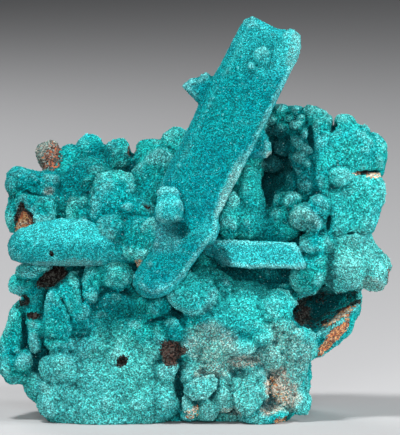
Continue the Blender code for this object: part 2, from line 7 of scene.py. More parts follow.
import bmesh
import bpy
import numpy as np
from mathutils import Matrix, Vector


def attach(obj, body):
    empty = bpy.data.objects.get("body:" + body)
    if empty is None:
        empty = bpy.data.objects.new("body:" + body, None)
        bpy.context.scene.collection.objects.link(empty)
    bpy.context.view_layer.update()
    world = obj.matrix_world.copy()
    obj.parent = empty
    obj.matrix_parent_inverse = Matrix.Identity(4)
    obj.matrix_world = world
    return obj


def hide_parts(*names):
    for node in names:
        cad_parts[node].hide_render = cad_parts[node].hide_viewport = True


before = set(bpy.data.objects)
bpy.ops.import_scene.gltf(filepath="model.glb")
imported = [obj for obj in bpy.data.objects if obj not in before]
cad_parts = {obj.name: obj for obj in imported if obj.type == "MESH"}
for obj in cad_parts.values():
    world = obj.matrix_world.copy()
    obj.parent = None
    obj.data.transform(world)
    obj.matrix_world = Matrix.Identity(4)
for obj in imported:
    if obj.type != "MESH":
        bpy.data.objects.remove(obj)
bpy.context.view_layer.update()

# The long crystal. A flat blade of azurite that rosasite has coated, with the pointed end of a small
# crystal at its upper left, a spur at its right edge, a knob at its left edge and two warts. It is
# grown as one solid on a fine grid and then skinned.
MM = 0.001
# Every place is (across, up, depth) in mm, as the display side shows it to a viewer who looks down a
# little. Depth is negative towards the viewer
LOOK_DOWN = math.radians(6)
FOOT_DEPTH = -17.0  # depth of the front of the specimen's foot
FOOT_UP = -0.8  # where the front of the foot shows

# Outlines as (across, up, width of the slanting edge there), clockwise from the upper left corner
LONG_OUTLINE = [
    (8.0, 78.4, 1.6), (9.0, 79.7, 1.4), (10.4, 80.4, 1.3), (11.8, 79.8, 1.3), (14.0, 78.6, 1.5),
    (15.6, 77.9, 1.5), (17.0, 77.8, 1.5), (18.3, 77.0, 1.4), (19.4, 75.4, 1.2), (19.8, 73.6, 1.1),
    (19.4, 72.0, 1.0), (18.0, 69.6, 0.45), (16.0, 65.4, 0.45), (14.0, 61.4, 0.45), (12.4, 58.0, 0.45),
    (10.9, 54.8, 0.45), (8.8, 51.2, 0.45), (7.4, 48.2, 0.45), (6.2, 46.0, 0.45), (4.5, 42.7, 0.5),
    (3.7, 41.0, 0.5), (3.5, 39.0, 0.5), (2.8, 36.8, 0.6), (1.0, 34.6, 0.6), (-1.4, 31.4, 0.6),
    (-3.0, 29.0, 0.7), (-4.6, 26.8, 1.2), (-6.2, 25.4, 1.3), (-8.0, 24.7, 1.4), (-9.6, 24.4, 1.4),
    (-11.2, 24.8, 1.5), (-12.5, 25.8, 1.6), (-13.2, 27.2, 1.7), (-13.2, 28.8, 1.7),
    (-12.4, 30.2, 1.7), (-10.7, 33.2, 1.7), (-9.9, 36.8, 1.8), (-9.2, 40.4, 1.8), (-8.5, 44.0, 1.8),
    (-7.7, 47.2, 1.9), (-6.1, 51.1, 1.9), (-4.4, 54.2, 1.9), (-2.5, 57.8, 1.9), (-1.3, 60.3, 1.9),
    (0.0, 63.2, 1.9), (1.2, 65.8, 1.8), (2.8, 68.6, 1.8), (4.3, 71.3, 1.8), (5.8, 74.2, 1.8),
    (7.2, 76.8, 1.7),
]
LONG_THICK = 6.4
LONG_DEPTHS = ((27.0, 78.0), (-17.0, -10.5))  # up, and the depth of its middle there
SMALL_OUTLINE = [
    (-3.4, 66.6, 0.6), (-2.0, 67.9, 0.7), (-0.4, 68.2, 0.7), (1.2, 69.3, 0.8), (3.4, 67.4, 0.8),
    (5.6, 65.0, 0.6), (4.4, 62.0, 0.6), (1.6, 61.4, 0.6), (-0.8, 63.8, 0.8),
]
SPUR_OUTLINE = [
    (8.6, 59.6, 0.5), (11.2, 59.4, 0.6), (13.0, 57.2, 0.8), (14.1, 54.8, 0.9), (14.1, 53.4, 0.9),
    (13.2, 52.5, 0.9), (11.0, 52.4, 0.9), (8.2, 52.8, 0.5),
]
# What grew beside the blade: its outline, the depth of its middle, its thickness, and the fillet
# where it meets the blade
SIDE_CRYSTALS = [(SMALL_OUTLINE, -11.4, 3.0, 0.6), (SPUR_OUTLINE, -12.8, 3.8, 0.9)]
EDGE_STEEPNESS = 1.2  # how far a slanting edge drops back, for its width
EDGE_ROUNDNESS = 1.5  # 1 would be a plain slant
LEAST_EDGE = 0.4  # half of the flat rim between the two slanting edges

# What stands out on it, as (across, up, depth), (radius across, radius up, radius in depth), roll in
# degrees anticlockwise: the knob, the warts, the second ridge of its upper end, small blisters
LONG_LUMPS = [
    ((-6.1, 41.9, -18.3), (2.8, 2.7, 2.8), -8),
    ((-6.4, 44.0, -17.6), (2.3, 2.4, 2.0), -8),
    ((12.4, 72.4, -14.3), (1.8, 1.9, 1.1), 0),
    ((10.3, 70.4, -14.6), (0.9, 0.9, 0.8), 0),
    ((16.6, 73.2, -12.6), (2.6, 5.0, 2.6), -27),
    ((7.2, 64.2, -15.2), (1.0, 1.0, 0.5), 0),
    ((2.2, 37.6, -16.2), (1.5, 2.6, 2.6), -20),
]
KNOB_SHADOW = ((-4.2, 38.2, -19.4), (1.9, 1.5, 1.5), 20)  # the hollow under the knob
# Dusty places, in the same form, with how dusty each is
LONG_DUST = [
    ((5.9, 46.2, -16.0), (1.3, 6.2, 4.0), -25, 0.22),
    ((18.6, 73.4, -12.0), (1.4, 4.6, 5.0), -10, 0.15),
    ((14.0, 53.0, -13.0), (0.8, 0.7, 3.0), 0, 0.4),
    ((-7.6, 37.0, -19.0), (3.4, 3.6, 4.0), 0, 0.05),
]
# Where it is paler, in the same form: more of its grains frosted, with painted light on the upper end
# and the knob, which the light catches
LONG_PALE = [
    ((14.0, 74.0, -12.0), (8.0, 7.0, 6.0), 0, 0.35),
    ((17.6, 74.0, -12.0), (2.6, 6.0, 5.0), -27, 0.7),
    ((-6.6, 43.0, -19.0), (2.6, 3.2, 3.6), 0, 0.8),
    ((-6.4, 27.0, -16.0), (4.0, 2.6, 5.0), 20, 0.4),
    ((2.0, 38.6, -18.0), (2.2, 3.4, 4.0), -25, 0.4),
    ((5.9, 46.2, -16.0), (1.6, 6.6, 4.0), -25, 0.6),
]
BLADE_STEP = 0.25  # of the grid


def place(across, up, depth):
    """The true point, in mm, that the display side shows at (across, up), at that depth."""
    rise = up - FOOT_UP + (FOOT_DEPTH - depth) * math.sin(LOOK_DOWN)
    return np.stack(np.broadcast_arrays(across, depth, rise / math.cos(LOOK_DOWN)), axis=-1)


def ease(low, high, value):
    """0 below low, 1 above high, and a smooth rise between them."""
    share = np.clip((value - low) / (high - low), 0.0, 1.0)
    return share * share * (3.0 - 2.0 * share)


def join(first, second, fillet):
    """The lesser of two depths, with a fillet of about that width where they meet."""
    share = np.clip(0.5 + 0.5 * (second - first) / fillet, 0.0, 1.0)
    return second + (first - second) * share - fillet * share * (1.0 - share)


class Growth:
    """A solid kept as one number for each point of a grid: how far outside the solid the point lies,
    in mm, or below zero inside it. The looks are kept beside it by name, each from 0 to 1."""

    FAR_OUTSIDE = 6.0
    MARGIN = 1.6  # how far around a lump its fillet can reach
    BLOCK_MARGIN = 2.5
    RAGGEDNESS = 0.35  # how far the edge of a mark strays, for its radius
    TINY = 1e-6

    def __init__(self, low, high, step, seed, wander):
        self.step = step
        self.low = np.array(low, np.float32)
        self.axes = [np.arange(a, b, step, dtype=np.float32) for a, b in zip(low, high)]
        self.random = np.random.default_rng(seed)
        self.shape = tuple(len(axis) for axis in self.axes)
        self.depths = np.full(self.shape, self.FAR_OUTSIDE, np.float32)
        self.looks = {
            name: np.zeros(self.shape, np.float32) for name in ("bare", "tone", "dust", "pale", "dark")
        }
        self.wander = [self.ripple(5.0) * wander + self.ripple(2.2) * wander * 0.4 for _ in range(3)]

    def ripple(self, spacing):
        """Smooth random values from -1 to 1, which change over about that many mm."""
        counts = [int((axis[-1] - axis[0]) / spacing) + 3 for axis in self.axes]
        values = self.random.uniform(-1.0, 1.0, counts).astype(np.float32)
        for number, axis in enumerate(self.axes):
            where = (axis - axis[0]) / spacing
            index = where.astype(int)
            share = ease(0.0, 1.0, where - index).astype(np.float32)
            share = share.reshape([-1 if side == number else 1 for side in range(3)])
            near = np.take(values, index, axis=number)
            values = near + (np.take(values, index + 1, axis=number) - near) * share
        return values

    def ripples(self, *waves):
        """Ripples laid over each other, each given by its spacing and its height."""
        return sum(self.ripple(spacing) * height for spacing, height in waves)

    def window(self, middle, reach):
        """The part of the grid within that reach of the middle."""
        found = []
        for axis, start, centre, far in zip(self.axes, self.low, middle, reach):
            first = max(int((centre - far - start) / self.step), 0)
            last = min(int((centre + far - start) / self.step) + 2, len(axis))
            found.append(slice(first, max(last, first)))
        return tuple(found)

    def points(self, window=(slice(None),) * 3):
        across, deep, up = (axis[part] for axis, part in zip(self.axes, window))
        return across[:, None, None], deep[None, :, None], up[None, None, :]

    def ball(self, middle, radii, roll, power, margin):
        """A window of the grid and the depths in it of a ball that is stretched to the radii
        (across, up, deep) and rolled anticlockwise. A higher power gives it flatter sides."""
        wide, tall, deep = radii
        widest = max(wide, tall) + margin
        window = self.window(middle, (widest, deep + margin, widest))
        x, y, z = (
            axis - centre + shift[window]
            for axis, centre, shift in zip(self.points(window), middle, self.wander)
        )
        cosine, sine = math.cos(math.radians(roll)), math.sin(math.radians(roll))
        shares = [
            np.abs(x * cosine + z * sine) / wide, np.abs(y) / deep, np.abs(z * cosine - x * sine) / tall
        ]
        out = sum(share**power for share in shares) ** (1.0 / power) + self.TINY
        slope = sum(
            (share ** (power - 1.0) / radius) ** 2 for share, radius in zip(shares, (wide, deep, tall))
        )
        slope = np.sqrt(slope) * out ** (1.0 - power) + self.TINY
        return window, out, (out - 1.0) / slope

    def lump(self, middle, radii, roll=0.0, power=2.0, fillet=0.5):
        window, _, depths = self.ball(middle, radii, roll, power, self.MARGIN)
        self.depths[window] = join(self.depths[window], depths, fillet)

    def hollow(self, middle, radii, roll=0.0, power=2.0, fillet=0.5):
        window, _, depths = self.ball(middle, radii, roll, power, self.MARGIN)
        self.depths[window] = -join(-self.depths[window], depths, fillet)

    def block(self, corners, fillet):
        """The convex block of rock through those corners."""
        hull = bmesh.new()
        bmesh.ops.convex_hull(hull, input=[hull.verts.new(corner) for corner in corners])
        low, high = np.min(corners, axis=0), np.max(corners, axis=0)
        window = self.window((low + high) / 2, (high - low) / 2 + self.BLOCK_MARGIN)
        x, y, z = self.points(window)
        depths = None
        for face in hull.faces:
            face.normal_update()
            normal = face.normal
            if normal.dot(Vector((low + high) / 2) - face.verts[0].co) > 0:
                normal = -normal
            flat = normal.x * x + normal.y * y + normal.z * z - normal.dot(face.verts[0].co)
            depths = flat if depths is None else np.maximum(depths, flat)
        hull.free()
        self.depths[window] = join(self.depths[window], depths.astype(np.float32), fillet)

    def mark(self, name, middle, radii, roll, strength, ragged):
        """Raises that look to the strength within the ball, with a ragged edge."""
        window, out, _ = self.ball(middle, radii, roll, 2.0, max(radii) * 0.5)
        inside = ease(1.25, 0.8, out + ragged[window] * self.RAGGEDNESS) * strength
        self.looks[name][window] = np.maximum(self.looks[name][window], inside)
        return window, inside

    def note_rims(self, reach, least, most):
        """Keeps where the forms' edges stand out: where less than the least share of the surroundings
        is solid is all rim, and above the most share there is none."""
        self.looks["rim"] = ease(most, least, self.filled(reach)).astype(np.float32)

    def at(self, values, spots):
        """The values at spots that lie between the grid's points."""
        where = np.clip((spots - self.low) / self.step, 0.0, np.array(self.shape) - 1.001)
        base = where.astype(int)
        share = where - base
        result = np.zeros(len(spots))
        for corner in np.ndindex(2, 2, 2):
            weight = np.prod(np.where(corner, share, 1.0 - share), axis=1)
            result += weight * values[tuple((base + corner).T)]
        return result

    def outward(self, spots):
        """The direction away from the solid at each spot."""
        slopes = []
        for side in range(3):
            shift = np.zeros(3)
            shift[side] = self.step
            slopes.append(self.at(self.depths, spots + shift) - self.at(self.depths, spots - shift))
        slopes = np.stack(slopes, axis=1)
        return slopes / np.maximum(np.linalg.norm(slopes, axis=1, keepdims=True), self.TINY)

    def filled(self, reach):
        """The share of each spot's surroundings that is solid, within about that many mm."""
        values = np.clip(0.5 - self.depths / self.step, 0.0, 1.0)
        half = max(int(round(reach / self.step / 2)), 1)
        wide = 2 * half + 1
        for side in (0, 1, 2) * 2:  # averaged twice, so that what is near weighs more
            pad = [(half + 1, half) if other == side else (0, 0) for other in range(3)]
            total = np.cumsum(np.pad(values, pad, "edge"), axis=side, dtype=np.float64)
            upper = tuple(slice(wide, None) if s == side else slice(None) for s in range(3))
            lower = tuple(slice(0, -wide) if s == side else slice(None) for s in range(3))
            values = ((total[upper] - total[lower]) / wide).astype(np.float32)
        return values

    def sprinkle(self, spots, sizes, spacing, sunk, fillet):
        """Sets a small dome on each of those spots that isn't too near a dome already set. Spacing is
        a share of their sizes, and so is how deep they are sunk."""
        widest = float(sizes.max()) * 2 * spacing
        taken = {}
        kept = []
        for index in self.random.permutation(len(spots)):
            spot, size = spots[index], float(sizes[index])
            cell = tuple(int(value // widest) for value in spot)
            near = any(
                sum((a - b) ** 2 for a, b in zip(spot, other)) < ((size + other_size) * spacing) ** 2
                for shift in np.ndindex(3, 3, 3)
                for other, other_size in taken.get(tuple(c + s - 1 for c, s in zip(cell, shift)), ())
            )
            if not near:
                taken.setdefault(cell, []).append((spot.tolist(), size))
                kept.append(index)
        outward = self.outward(spots[kept])
        strayed = np.stack([self.at(values, spots[kept]) for values in self.wander], axis=1)
        for spot, size, away in zip(spots[kept] + strayed, sizes[kept], outward):
            stretch = self.random.uniform(0.85, 1.2, 3)
            roll = self.random.uniform(-90, 90)
            self.lump(spot - away * size * sunk, size * stretch, roll, fillet=fillet)

    def skin(self):
        """One point of the solid's surface for each grid cell that it passes through, and the
        four-sided faces between them, which face out."""
        inside = self.depths < 0.0
        size = np.array(self.shape) - 1
        corners = list(np.ndindex(2, 2, 2))
        held = sum(
            inside[tuple(slice(c, c + n) for c, n in zip(corner, size))].astype(np.uint8)
            for corner in corners
        )
        cells = np.argwhere((held > 0) & (held < len(corners)))
        number = np.full(size, -1, np.int32)
        number[tuple(cells.T)] = np.arange(len(cells))
        depth_at = {c: self.depths[tuple((cells + c).T)].astype(float) for c in corners}
        total = np.zeros((len(cells), 3))
        crossings = np.zeros(len(cells))
        for near, side in itertools.product(corners, range(3)):
            if near[side]:
                continue
            far = tuple(c + (s == side) for s, c in enumerate(near))
            first, second = depth_at[near], depth_at[far]
            crossed = (first < 0.0) != (second < 0.0)
            share = np.where(crossed, first / np.where(crossed, first - second, 1.0), 0.0)
            spot = np.tile(np.array(near, float), (len(cells), 1))
            spot[:, side] += share
            total += spot * crossed[:, None]
            crossings += crossed
        spots = self.low + (cells + total / crossings[:, None]) * self.step
        faces = []
        for side in range(3):
            first = inside[tuple(slice(0, -1) if s == side else slice(None) for s in range(3))]
            second = inside[tuple(slice(1, None) if s == side else slice(None) for s in range(3))]
            edges = np.argwhere(first != second)
            u, v = (side + 1) % 3, (side + 2) % 3
            edges = edges[(edges[:, u] > 0) & (edges[:, v] > 0)]
            edges = edges[(edges[:, u] < size[u]) & (edges[:, v] < size[v])]
            loop = []
            for back_u, back_v in ((1, 1), (0, 1), (0, 0), (1, 0)):
                cell = edges.copy()
                cell[:, u] -= back_u
                cell[:, v] -= back_v
                loop.append(number[tuple(cell.T)])
            loop = np.stack(loop, axis=1)
            outward = first[tuple(edges.T)]
            faces.append(np.where(outward[:, None], loop, loop[:, ::-1]))
        return spots, np.concatenate(faces)


def thinned(mesh, most):
    """The mesh with at most about that many triangles, fewest where it is flattest."""
    mesh.calc_loop_triangles()
    made = bpy.data.objects.new(mesh.name, mesh)
    bpy.context.scene.collection.objects.link(made)
    thin = made.modifiers.new("fewer faces", "DECIMATE")
    thin.ratio = min(1.0, most / len(mesh.loop_triangles))
    result = bpy.data.meshes.new_from_object(made.evaluated_get(bpy.context.evaluated_depsgraph_get()))
    bpy.data.objects.remove(made)
    bpy.data.meshes.remove(mesh)
    return result


FOLD_REACH = 1.1  # how far round a spot is looked at, to tell whether the surface folds in there
NEAR_REACH, FAR_REACH = 3.4, 7.5  # and to tell how enclosed it is
BACK_FADE = 6.0  # behind the front, grains grow thinner over this many mm
FEWER_ON_BARE, FEWER_BEHIND = 0.85, 0.75  # shares of the grains that are missing there


def skinned(growth, name, most, to_true, front_depth):
    """A mesh of the growth, at its true place, with at most about that many triangles. Its points
    carry the growth's looks, how sharply the surface folds in (crease), how enclosed it is (sunk),
    and how thickly grains grow on it (grow): fully at the front, and less behind front_depth."""
    spots, faces = growth.skin()
    mesh = bpy.data.meshes.new(name)
    mesh.vertices.add(len(spots))
    mesh.vertices.foreach_set("co", spots.astype(np.float32).ravel())
    mesh.loops.add(faces.size)
    mesh.loops.foreach_set("vertex_index", faces.astype(np.int32).ravel())
    mesh.polygons.add(len(faces))
    mesh.polygons.foreach_set("loop_start", np.arange(0, faces.size, 4, dtype=np.int32))
    mesh.update(calc_edges=True)
    mesh = thinned(mesh, most)
    mesh.name = name
    spots = np.empty(len(mesh.vertices) * 3, np.float32)
    mesh.vertices.foreach_get("co", spots)
    spots = spots.reshape(-1, 3).astype(float)
    shown = ("rim", "bare", "tone", "dust", "pale")
    values = {look: growth.at(growth.looks[look], spots) for look in shown}
    tight, near, far = (
        growth.at(growth.filled(reach), spots) for reach in (FOLD_REACH, NEAR_REACH, FAR_REACH)
    )
    # crease and sunk are for painted shade: the finish darkens the folds and the enclosed places, and the
    # dark marks, painted shade as well, join sunk
    values["crease"] = ease(0.51, 0.68, tight)
    sunk = np.maximum(ease(0.50, 0.84, near), ease(0.50, 0.74, far))
    values["sunk"] = np.maximum(sunk, growth.at(growth.looks["dark"], spots))
    facing_back = ease(-0.4, 0.4, growth.outward(spots)[:, 1])
    behind = ease(front_depth, front_depth + BACK_FADE, spots[:, 1]) * facing_back
    values["grow"] = (1.0 - values["bare"] * FEWER_ON_BARE) * (1.0 - behind * FEWER_BEHIND)
    for label, value in values.items():
        stored = mesh.attributes.new(label, "FLOAT", "POINT")
        stored.data.foreach_set("value", value.astype(np.float32))
    mesh.vertices.foreach_set("co", (to_true(spots) * MM).astype(np.float32).ravel())
    mesh.polygons.foreach_set("use_smooth", np.ones(len(mesh.polygons), bool))
    mesh.update()
    made = bpy.data.objects.new(name, mesh)
    bpy.context.scene.collection.objects.link(made)
    return made


def outline_depths(growth, outline, middles, thick):
    """Depths of a flat crystal with that outline, thickened about its middle, with edges that slant
    in to its two broad faces. Middles is (ups, depths)."""
    across, deep, up = growth.points()
    x, z = across[:, 0, :] + np.zeros_like(up[0]), up[0] + np.zeros_like(across[:, 0, :])
    nearest = np.full(x.shape, 1e6)
    edge = np.zeros(x.shape)
    inside = np.zeros(x.shape, bool)
    for (x0, z0, edge0), (x1, z1, edge1) in zip(outline, outline[1:] + outline[:1]):
        length = (x1 - x0) ** 2 + (z1 - z0) ** 2
        along = np.clip(((x - x0) * (x1 - x0) + (z - z0) * (z1 - z0)) / length, 0.0, 1.0)
        far = np.hypot(x - x0 - along * (x1 - x0), z - z0 - along * (z1 - z0))
        closer = far < nearest
        edge[closer] = (edge0 + (edge1 - edge0) * along)[closer]
        nearest = np.minimum(nearest, far)
        if z0 != z1:
            inside ^= ((z0 > z) != (z1 > z)) & (x < x0 + (z - z0) * (x1 - x0) / (z1 - z0))
    rim = np.where(inside, -nearest, nearest)
    slant = edge * (1.0 - np.clip(-rim / edge, 0.0, 1.0)) ** EDGE_ROUNDNESS * EDGE_STEEPNESS
    half = np.maximum(thick / 2 - slant, LEAST_EDGE)[:, None, :]
    middle = np.interp(up, *middles)
    flat = np.abs(deep - middle) - half
    return -join(-flat, -rim[:, None, :] + np.zeros_like(flat), 0.5).astype(np.float32)


def on_grid(across, up, depth):
    """A place in the order of a crystal's grid, which isn't turned to its true place yet."""
    return across, depth, up


def as_shown(spots):
    return place(spots[:, 0], spots[:, 2], spots[:, 1])


DRUSE_WAVES = (3.4, 0.14), (1.3, 0.07), (0.6, 0.06)  # spacing and height of its unevenness
EDGE_REACH, EDGE_SHARE = 1.6, 0.40  # an edge is where less than this share of what is near is solid
TRIES = 6  # spots tried for each dome that is asked for


def coated(growth, name, amount, domes, sizes, most):
    """The finished crystal: its rims, the roughness of its druse, small domes along its edges, and its
    skin, with at most about that many triangles."""
    # rims, where the finish paints a highlight that also stands for frosted edges
    growth.note_rims(reach=1.3, least=0.26, most=0.42)
    growth.depths += growth.ripples(*DRUSE_WAVES) * amount
    spots, _ = growth.skin()
    spots = spots[growth.at(growth.filled(EDGE_REACH), spots) < EDGE_SHARE]
    candidates = domes * TRIES
    spots = spots[growth.random.random(len(spots)) < candidates / max(len(spots), 1)]
    least_size, most_size = sizes
    radii = least_size + (most_size - least_size) * growth.random.random(len(spots)) ** 2
    growth.sprinkle(spots[:candidates], radii, spacing=0.62, sunk=0.6, fillet=0.2)
    return skinned(growth, name, most, as_shown, front_depth=-8.0)


blade = Growth(low=(-15.0, -22.6, 22.4), high=(21.6, -5.2, 82.6), step=BLADE_STEP, seed=5, wander=0.25)
blade.depths = outline_depths(blade, LONG_OUTLINE, LONG_DEPTHS, LONG_THICK)
for outline, depth, thick, fillet in SIDE_CRYSTALS:
    beside = outline_depths(blade, outline, ((0.0, 90.0), (depth, depth)), thick)
    blade.depths = join(blade.depths, beside, fillet)
for centre, radii, roll in LONG_LUMPS:
    blade.lump(on_grid(*centre), radii, roll, power=2.4, fillet=0.25)
centre, radii, roll = KNOB_SHADOW
blade.hollow(on_grid(*centre), radii, roll, fillet=0.3)
# the dark mark is a painted shadow under the knob
blade.mark("dark", on_grid(*centre), (2.2, 1.8, 3.0), roll=30, strength=0.6, ragged=blade.ripple(1.2))
ragged = blade.ripples((1.2, 0.6), (0.6, 0.4))
for look, places in (("dust", LONG_DUST), ("pale", LONG_PALE)):
    for centre, radii, roll, strength in places:
        blade.mark(look, on_grid(*centre), radii, roll, strength, ragged)
long_crystal = coated(
    blade, "long_crystal_druse", amount=0.8, domes=300, sizes=(0.30, 0.6), most=70_000
)


class Recipe:
    """Works out colours and values step by step, each step a node of the tree."""

    def __init__(self, tree):
        self.tree = tree

    def node(self, kind, feeds=None, **settings):
        """A node of that kind, with its settings, and its inputs set or fed from other nodes."""
        made = self.tree.nodes.new(kind)
        for name, value in settings.items():
            setattr(made, name, value)
        for name, value in (feeds or {}).items():
            if isinstance(value, bpy.types.NodeSocket):
                self.tree.links.new(value, made.inputs[name])
            else:
                made.inputs[name].default_value = value
        return made

    def reckon(self, way, first, second, clamp=False):
        feeds = {0: first, 1: second}
        return self.node("ShaderNodeMath", feeds, operation=way, use_clamp=clamp).outputs[0]

    def plus(self, first, second, clamp=False):
        return self.reckon("ADD", first, second, clamp)

    def less(self, first, second):
        return self.reckon("SUBTRACT", first, second)

    def times(self, first, second, clamp=False):
        return self.reckon("MULTIPLY", first, second, clamp)

    def between(self, share, first, second):
        return self.node("ShaderNodeMix", {0: share, 2: first, 3: second}).outputs[0]

    def blend(self, share, first, second, way="MIX"):
        """The colour between two others, or the second laid over the first in another way."""
        kind = {"data_type": "RGBA", "blend_type": way}
        return self.node("ShaderNodeMix", {0: share, 6: first, 7: second}, **kind).outputs[2]

    def spot(self):
        return self.node("ShaderNodeTexCoord").outputs["Object"]

    def noise(self, spot, size, detail, rough=0.5):
        """Noise from 0 to 1, with blotches of about that many mm."""
        feeds = {"Vector": spot, "Scale": 1.0 / (size * MM), "Detail": detail, "Roughness": rough}
        return self.node("ShaderNodeTexNoise", feeds).outputs[0]

    def cells(self, spot, number):
        """Irregular cells, about that many to the metre."""
        feeds = {"Vector": spot, "Scale": number, "Randomness": 1.0}
        return self.node("ShaderNodeTexVoronoi", feeds).outputs

    def spread(self, value, low, high, new_low=0.0, new_high=1.0):
        """The value, with low to high stretched to a new range and the rest cut off."""
        feeds = {"Value": value, "From Min": low, "From Max": high}
        feeds |= {"To Min": new_low, "To Max": new_high}
        return self.node("ShaderNodeMapRange", feeds, interpolation_type="SMOOTHSTEP").outputs[0]

    def stored(self, name):
        return self.node("ShaderNodeAttribute", attribute_name=name).outputs["Fac"]


COLOUR, VALUE = "NodeSocketColor", "NodeSocketFloat"


def new_group(name, inputs, outputs):
    """An empty node group, what is given to it, and the sockets for its results."""
    group = bpy.data.node_groups.new(name, "ShaderNodeTree")
    for label, kind, value in inputs:
        group.interface.new_socket(label, in_out="INPUT", socket_type=kind).default_value = value
    for label, kind in outputs:
        group.interface.new_socket(label, in_out="OUTPUT", socket_type=kind)
    return group, group.nodes.new("NodeGroupInput").outputs, group.nodes.new("NodeGroupOutput").inputs


GLINT = (0.80, 0.97, 0.96, 1.0)
EDGE_FROST_AND_HIGHLIGHT = (0.30, 0.78, 0.77, 1.0)
BEADS, SMALL_BEADS = 1100.0, 1900.0  # to the metre

# The druse: a skin of tiny rosasite grains, bluer or greener by patches, each a little lighter or
# darker than the next, with painted highlight where the surface stands out and painted shade where it
# folds in or is enclosed
druse, given, result = new_group(
    "druse",
    [
        ("Blue", COLOUR, (0.0, 0.30, 0.34, 1.0)),
        ("Green", COLOUR, (0.01, 0.42, 0.38, 1.0)),
        ("Pale", COLOUR, (0.13, 0.60, 0.57, 1.0)),
        ("Painted shade", COLOUR, (0.0, 0.05, 0.06, 1.0)),
        ("Dusty", COLOUR, (0.52, 0.42, 0.345, 1.0)),
        ("Frost", VALUE, 0.06),
        ("Grain size", VALUE, 4400.0),
        ("Grain contrast", VALUE, 0.5),
        ("Beads", VALUE, 1.0),
        ("Solid grains", VALUE, 0.0),
    ],
    [("Color", COLOUR), ("Height", VALUE), ("Speck", VALUE)],
)
mix = Recipe(druse)
spot = mix.spot()
broad = mix.noise(spot, 9.0, 3.0)
patch = mix.noise(spot, 2.2, 3.0, 0.6)
fine = mix.noise(spot, 0.7, 3.0, 0.7)
beads = mix.cells(spot, BEADS)
small_beads = mix.cells(spot, SMALL_BEADS)
grains = mix.cells(spot, given["Grain size"])
# two random numbers for each grain: its cell's where it is painted, its own where it is solid
painted = mix.node("ShaderNodeSeparateColor", {"Color": grains["Color"]}).outputs
speck, pick = (
    mix.between(given["Solid grains"], painted[side], mix.stored(name))
    for side, name in enumerate(("shade", "pick"))
)
hue = mix.spread(mix.plus(mix.times(broad, 0.6), mix.times(patch, 0.4)), 0.38, 0.62)
shown = mix.blend(hue, given["Blue"], given["Green"])
# frosted grains, some more than others, where the crust is pale (pale marks also hold painted
# light), and a painted highlight on its edges that also stands for frosted edges
thin = mix.times(mix.spread(patch, 0.42, 0.75), given["Frost"])
pale = mix.times(mix.stored("pale"), mix.plus(patch, 0.5))
uneven = mix.plus(mix.times(pick, 0.9), 0.4)
shown = mix.blend(mix.times(mix.plus(thin, pale), uneven, clamp=True), shown, given["Pale"])
shown = mix.blend(mix.times(mix.times(mix.stored("rim"), 0.4), uneven, clamp=True), shown, EDGE_FROST_AND_HIGHLIGHT)
# and dusty, again some more than others
dust = mix.times(mix.stored("dust"), mix.plus(fine, 0.5))
dusty = mix.times(dust, mix.less(1.7, mix.times(pick, 1.4)), clamp=True)
shown = mix.blend(dusty, shown, given["Dusty"])
# painted shade: darker in its folds, between its beads, where it is enclosed and where it is marked dark
gaps = mix.times(mix.spread(beads["Distance"], 0.42, 0.75), given["Beads"])
fold_shade = mix.plus(mix.times(mix.stored("crease"), 0.8), mix.times(gaps, 0.5))
shown = mix.blend(mix.times(fold_shade, 0.75, clamp=True), shown, given["Painted shade"])
enclosed = mix.spread(mix.plus(mix.stored("sunk"), mix.times(fine, 0.3)), 0.2, 1.0)
shown = mix.blend(mix.times(enclosed, 0.9), shown, given["Painted shade"])
# each grain is lighter or darker than the next, and a few glint
shade = mix.less(mix.times(mix.times(speck, speck), 3.0), 1.0)
gain = mix.plus(mix.times(shade, given["Grain contrast"]), 1.0)
lit = mix.node("ShaderNodeCombineColor", {0: gain, 1: gain, 2: gain}).outputs[0]
shown = mix.blend(1.0, shown, lit, "MULTIPLY")
shown = mix.blend(mix.times(mix.spread(speck, 0.98, 1.0), 0.25), shown, GLINT)
dome = mix.less(1.0, grains["Distance"])
swellings = mix.less(1.6, mix.plus(beads["Distance"], small_beads["Distance"]))
dome = mix.plus(dome, mix.times(mix.times(swellings, given["Beads"]), 2.4))
for label, value in (("Color", shown), ("Height", mix.plus(dome, fine)), ("Speck", speck)):
    druse.links.new(value, result[label])

# The gossan: porous iron oxide, from black-brown through rust to yellow and cream by its tone
GOSSAN_TONES = [
    (0.0, (0.008, 0.006, 0.006)), (0.2, (0.030, 0.022, 0.020)), (0.4, (0.13, 0.070, 0.055)),
    (0.55, (0.40, 0.11, 0.055)), (0.7, (0.66, 0.24, 0.08)), (0.84, (0.74, 0.48, 0.22)),
    (1.0, (0.80, 0.74, 0.62)),
]
ASH = (0.16, 0.17, 0.15, 1.0)
BITS = 3400.0  # to the metre
gossan, _, result = new_group("gossan", [], [("Color", COLOUR), ("Height", VALUE), ("Cover", VALUE)])
mix = Recipe(gossan)
spot = mix.spot()
rough_patch = mix.noise(spot, 1.1, 4.0, 0.75)
pits = mix.noise(spot, 0.42, 3.0, 0.8)
bit = mix.node("ShaderNodeSeparateColor", {"Color": mix.cells(spot, BITS)["Color"]}).outputs
swing = mix.times(mix.less(rough_patch, 0.5), 0.5)
swing = mix.plus(swing, mix.times(mix.less(bit[0], 0.5), 0.66))
livelier = mix.plus(mix.times(mix.stored("tone"), 0.9), 0.35)
tone = mix.plus(mix.stored("tone"), mix.times(swing, livelier), clamp=True)
ramp = mix.node("ShaderNodeValToRGB", {"Fac": tone})
while len(ramp.color_ramp.elements) < len(GOSSAN_TONES):
    ramp.color_ramp.elements.new(0.5)
for element, (position, colour) in zip(ramp.color_ramp.elements, GOSSAN_TONES):
    element.position = position
    element.color = (*colour, 1.0)
rock_colour = mix.blend(mix.times(mix.spread(bit[2], 0.72, 0.8), 0.4), ramp.outputs[0], ASH)
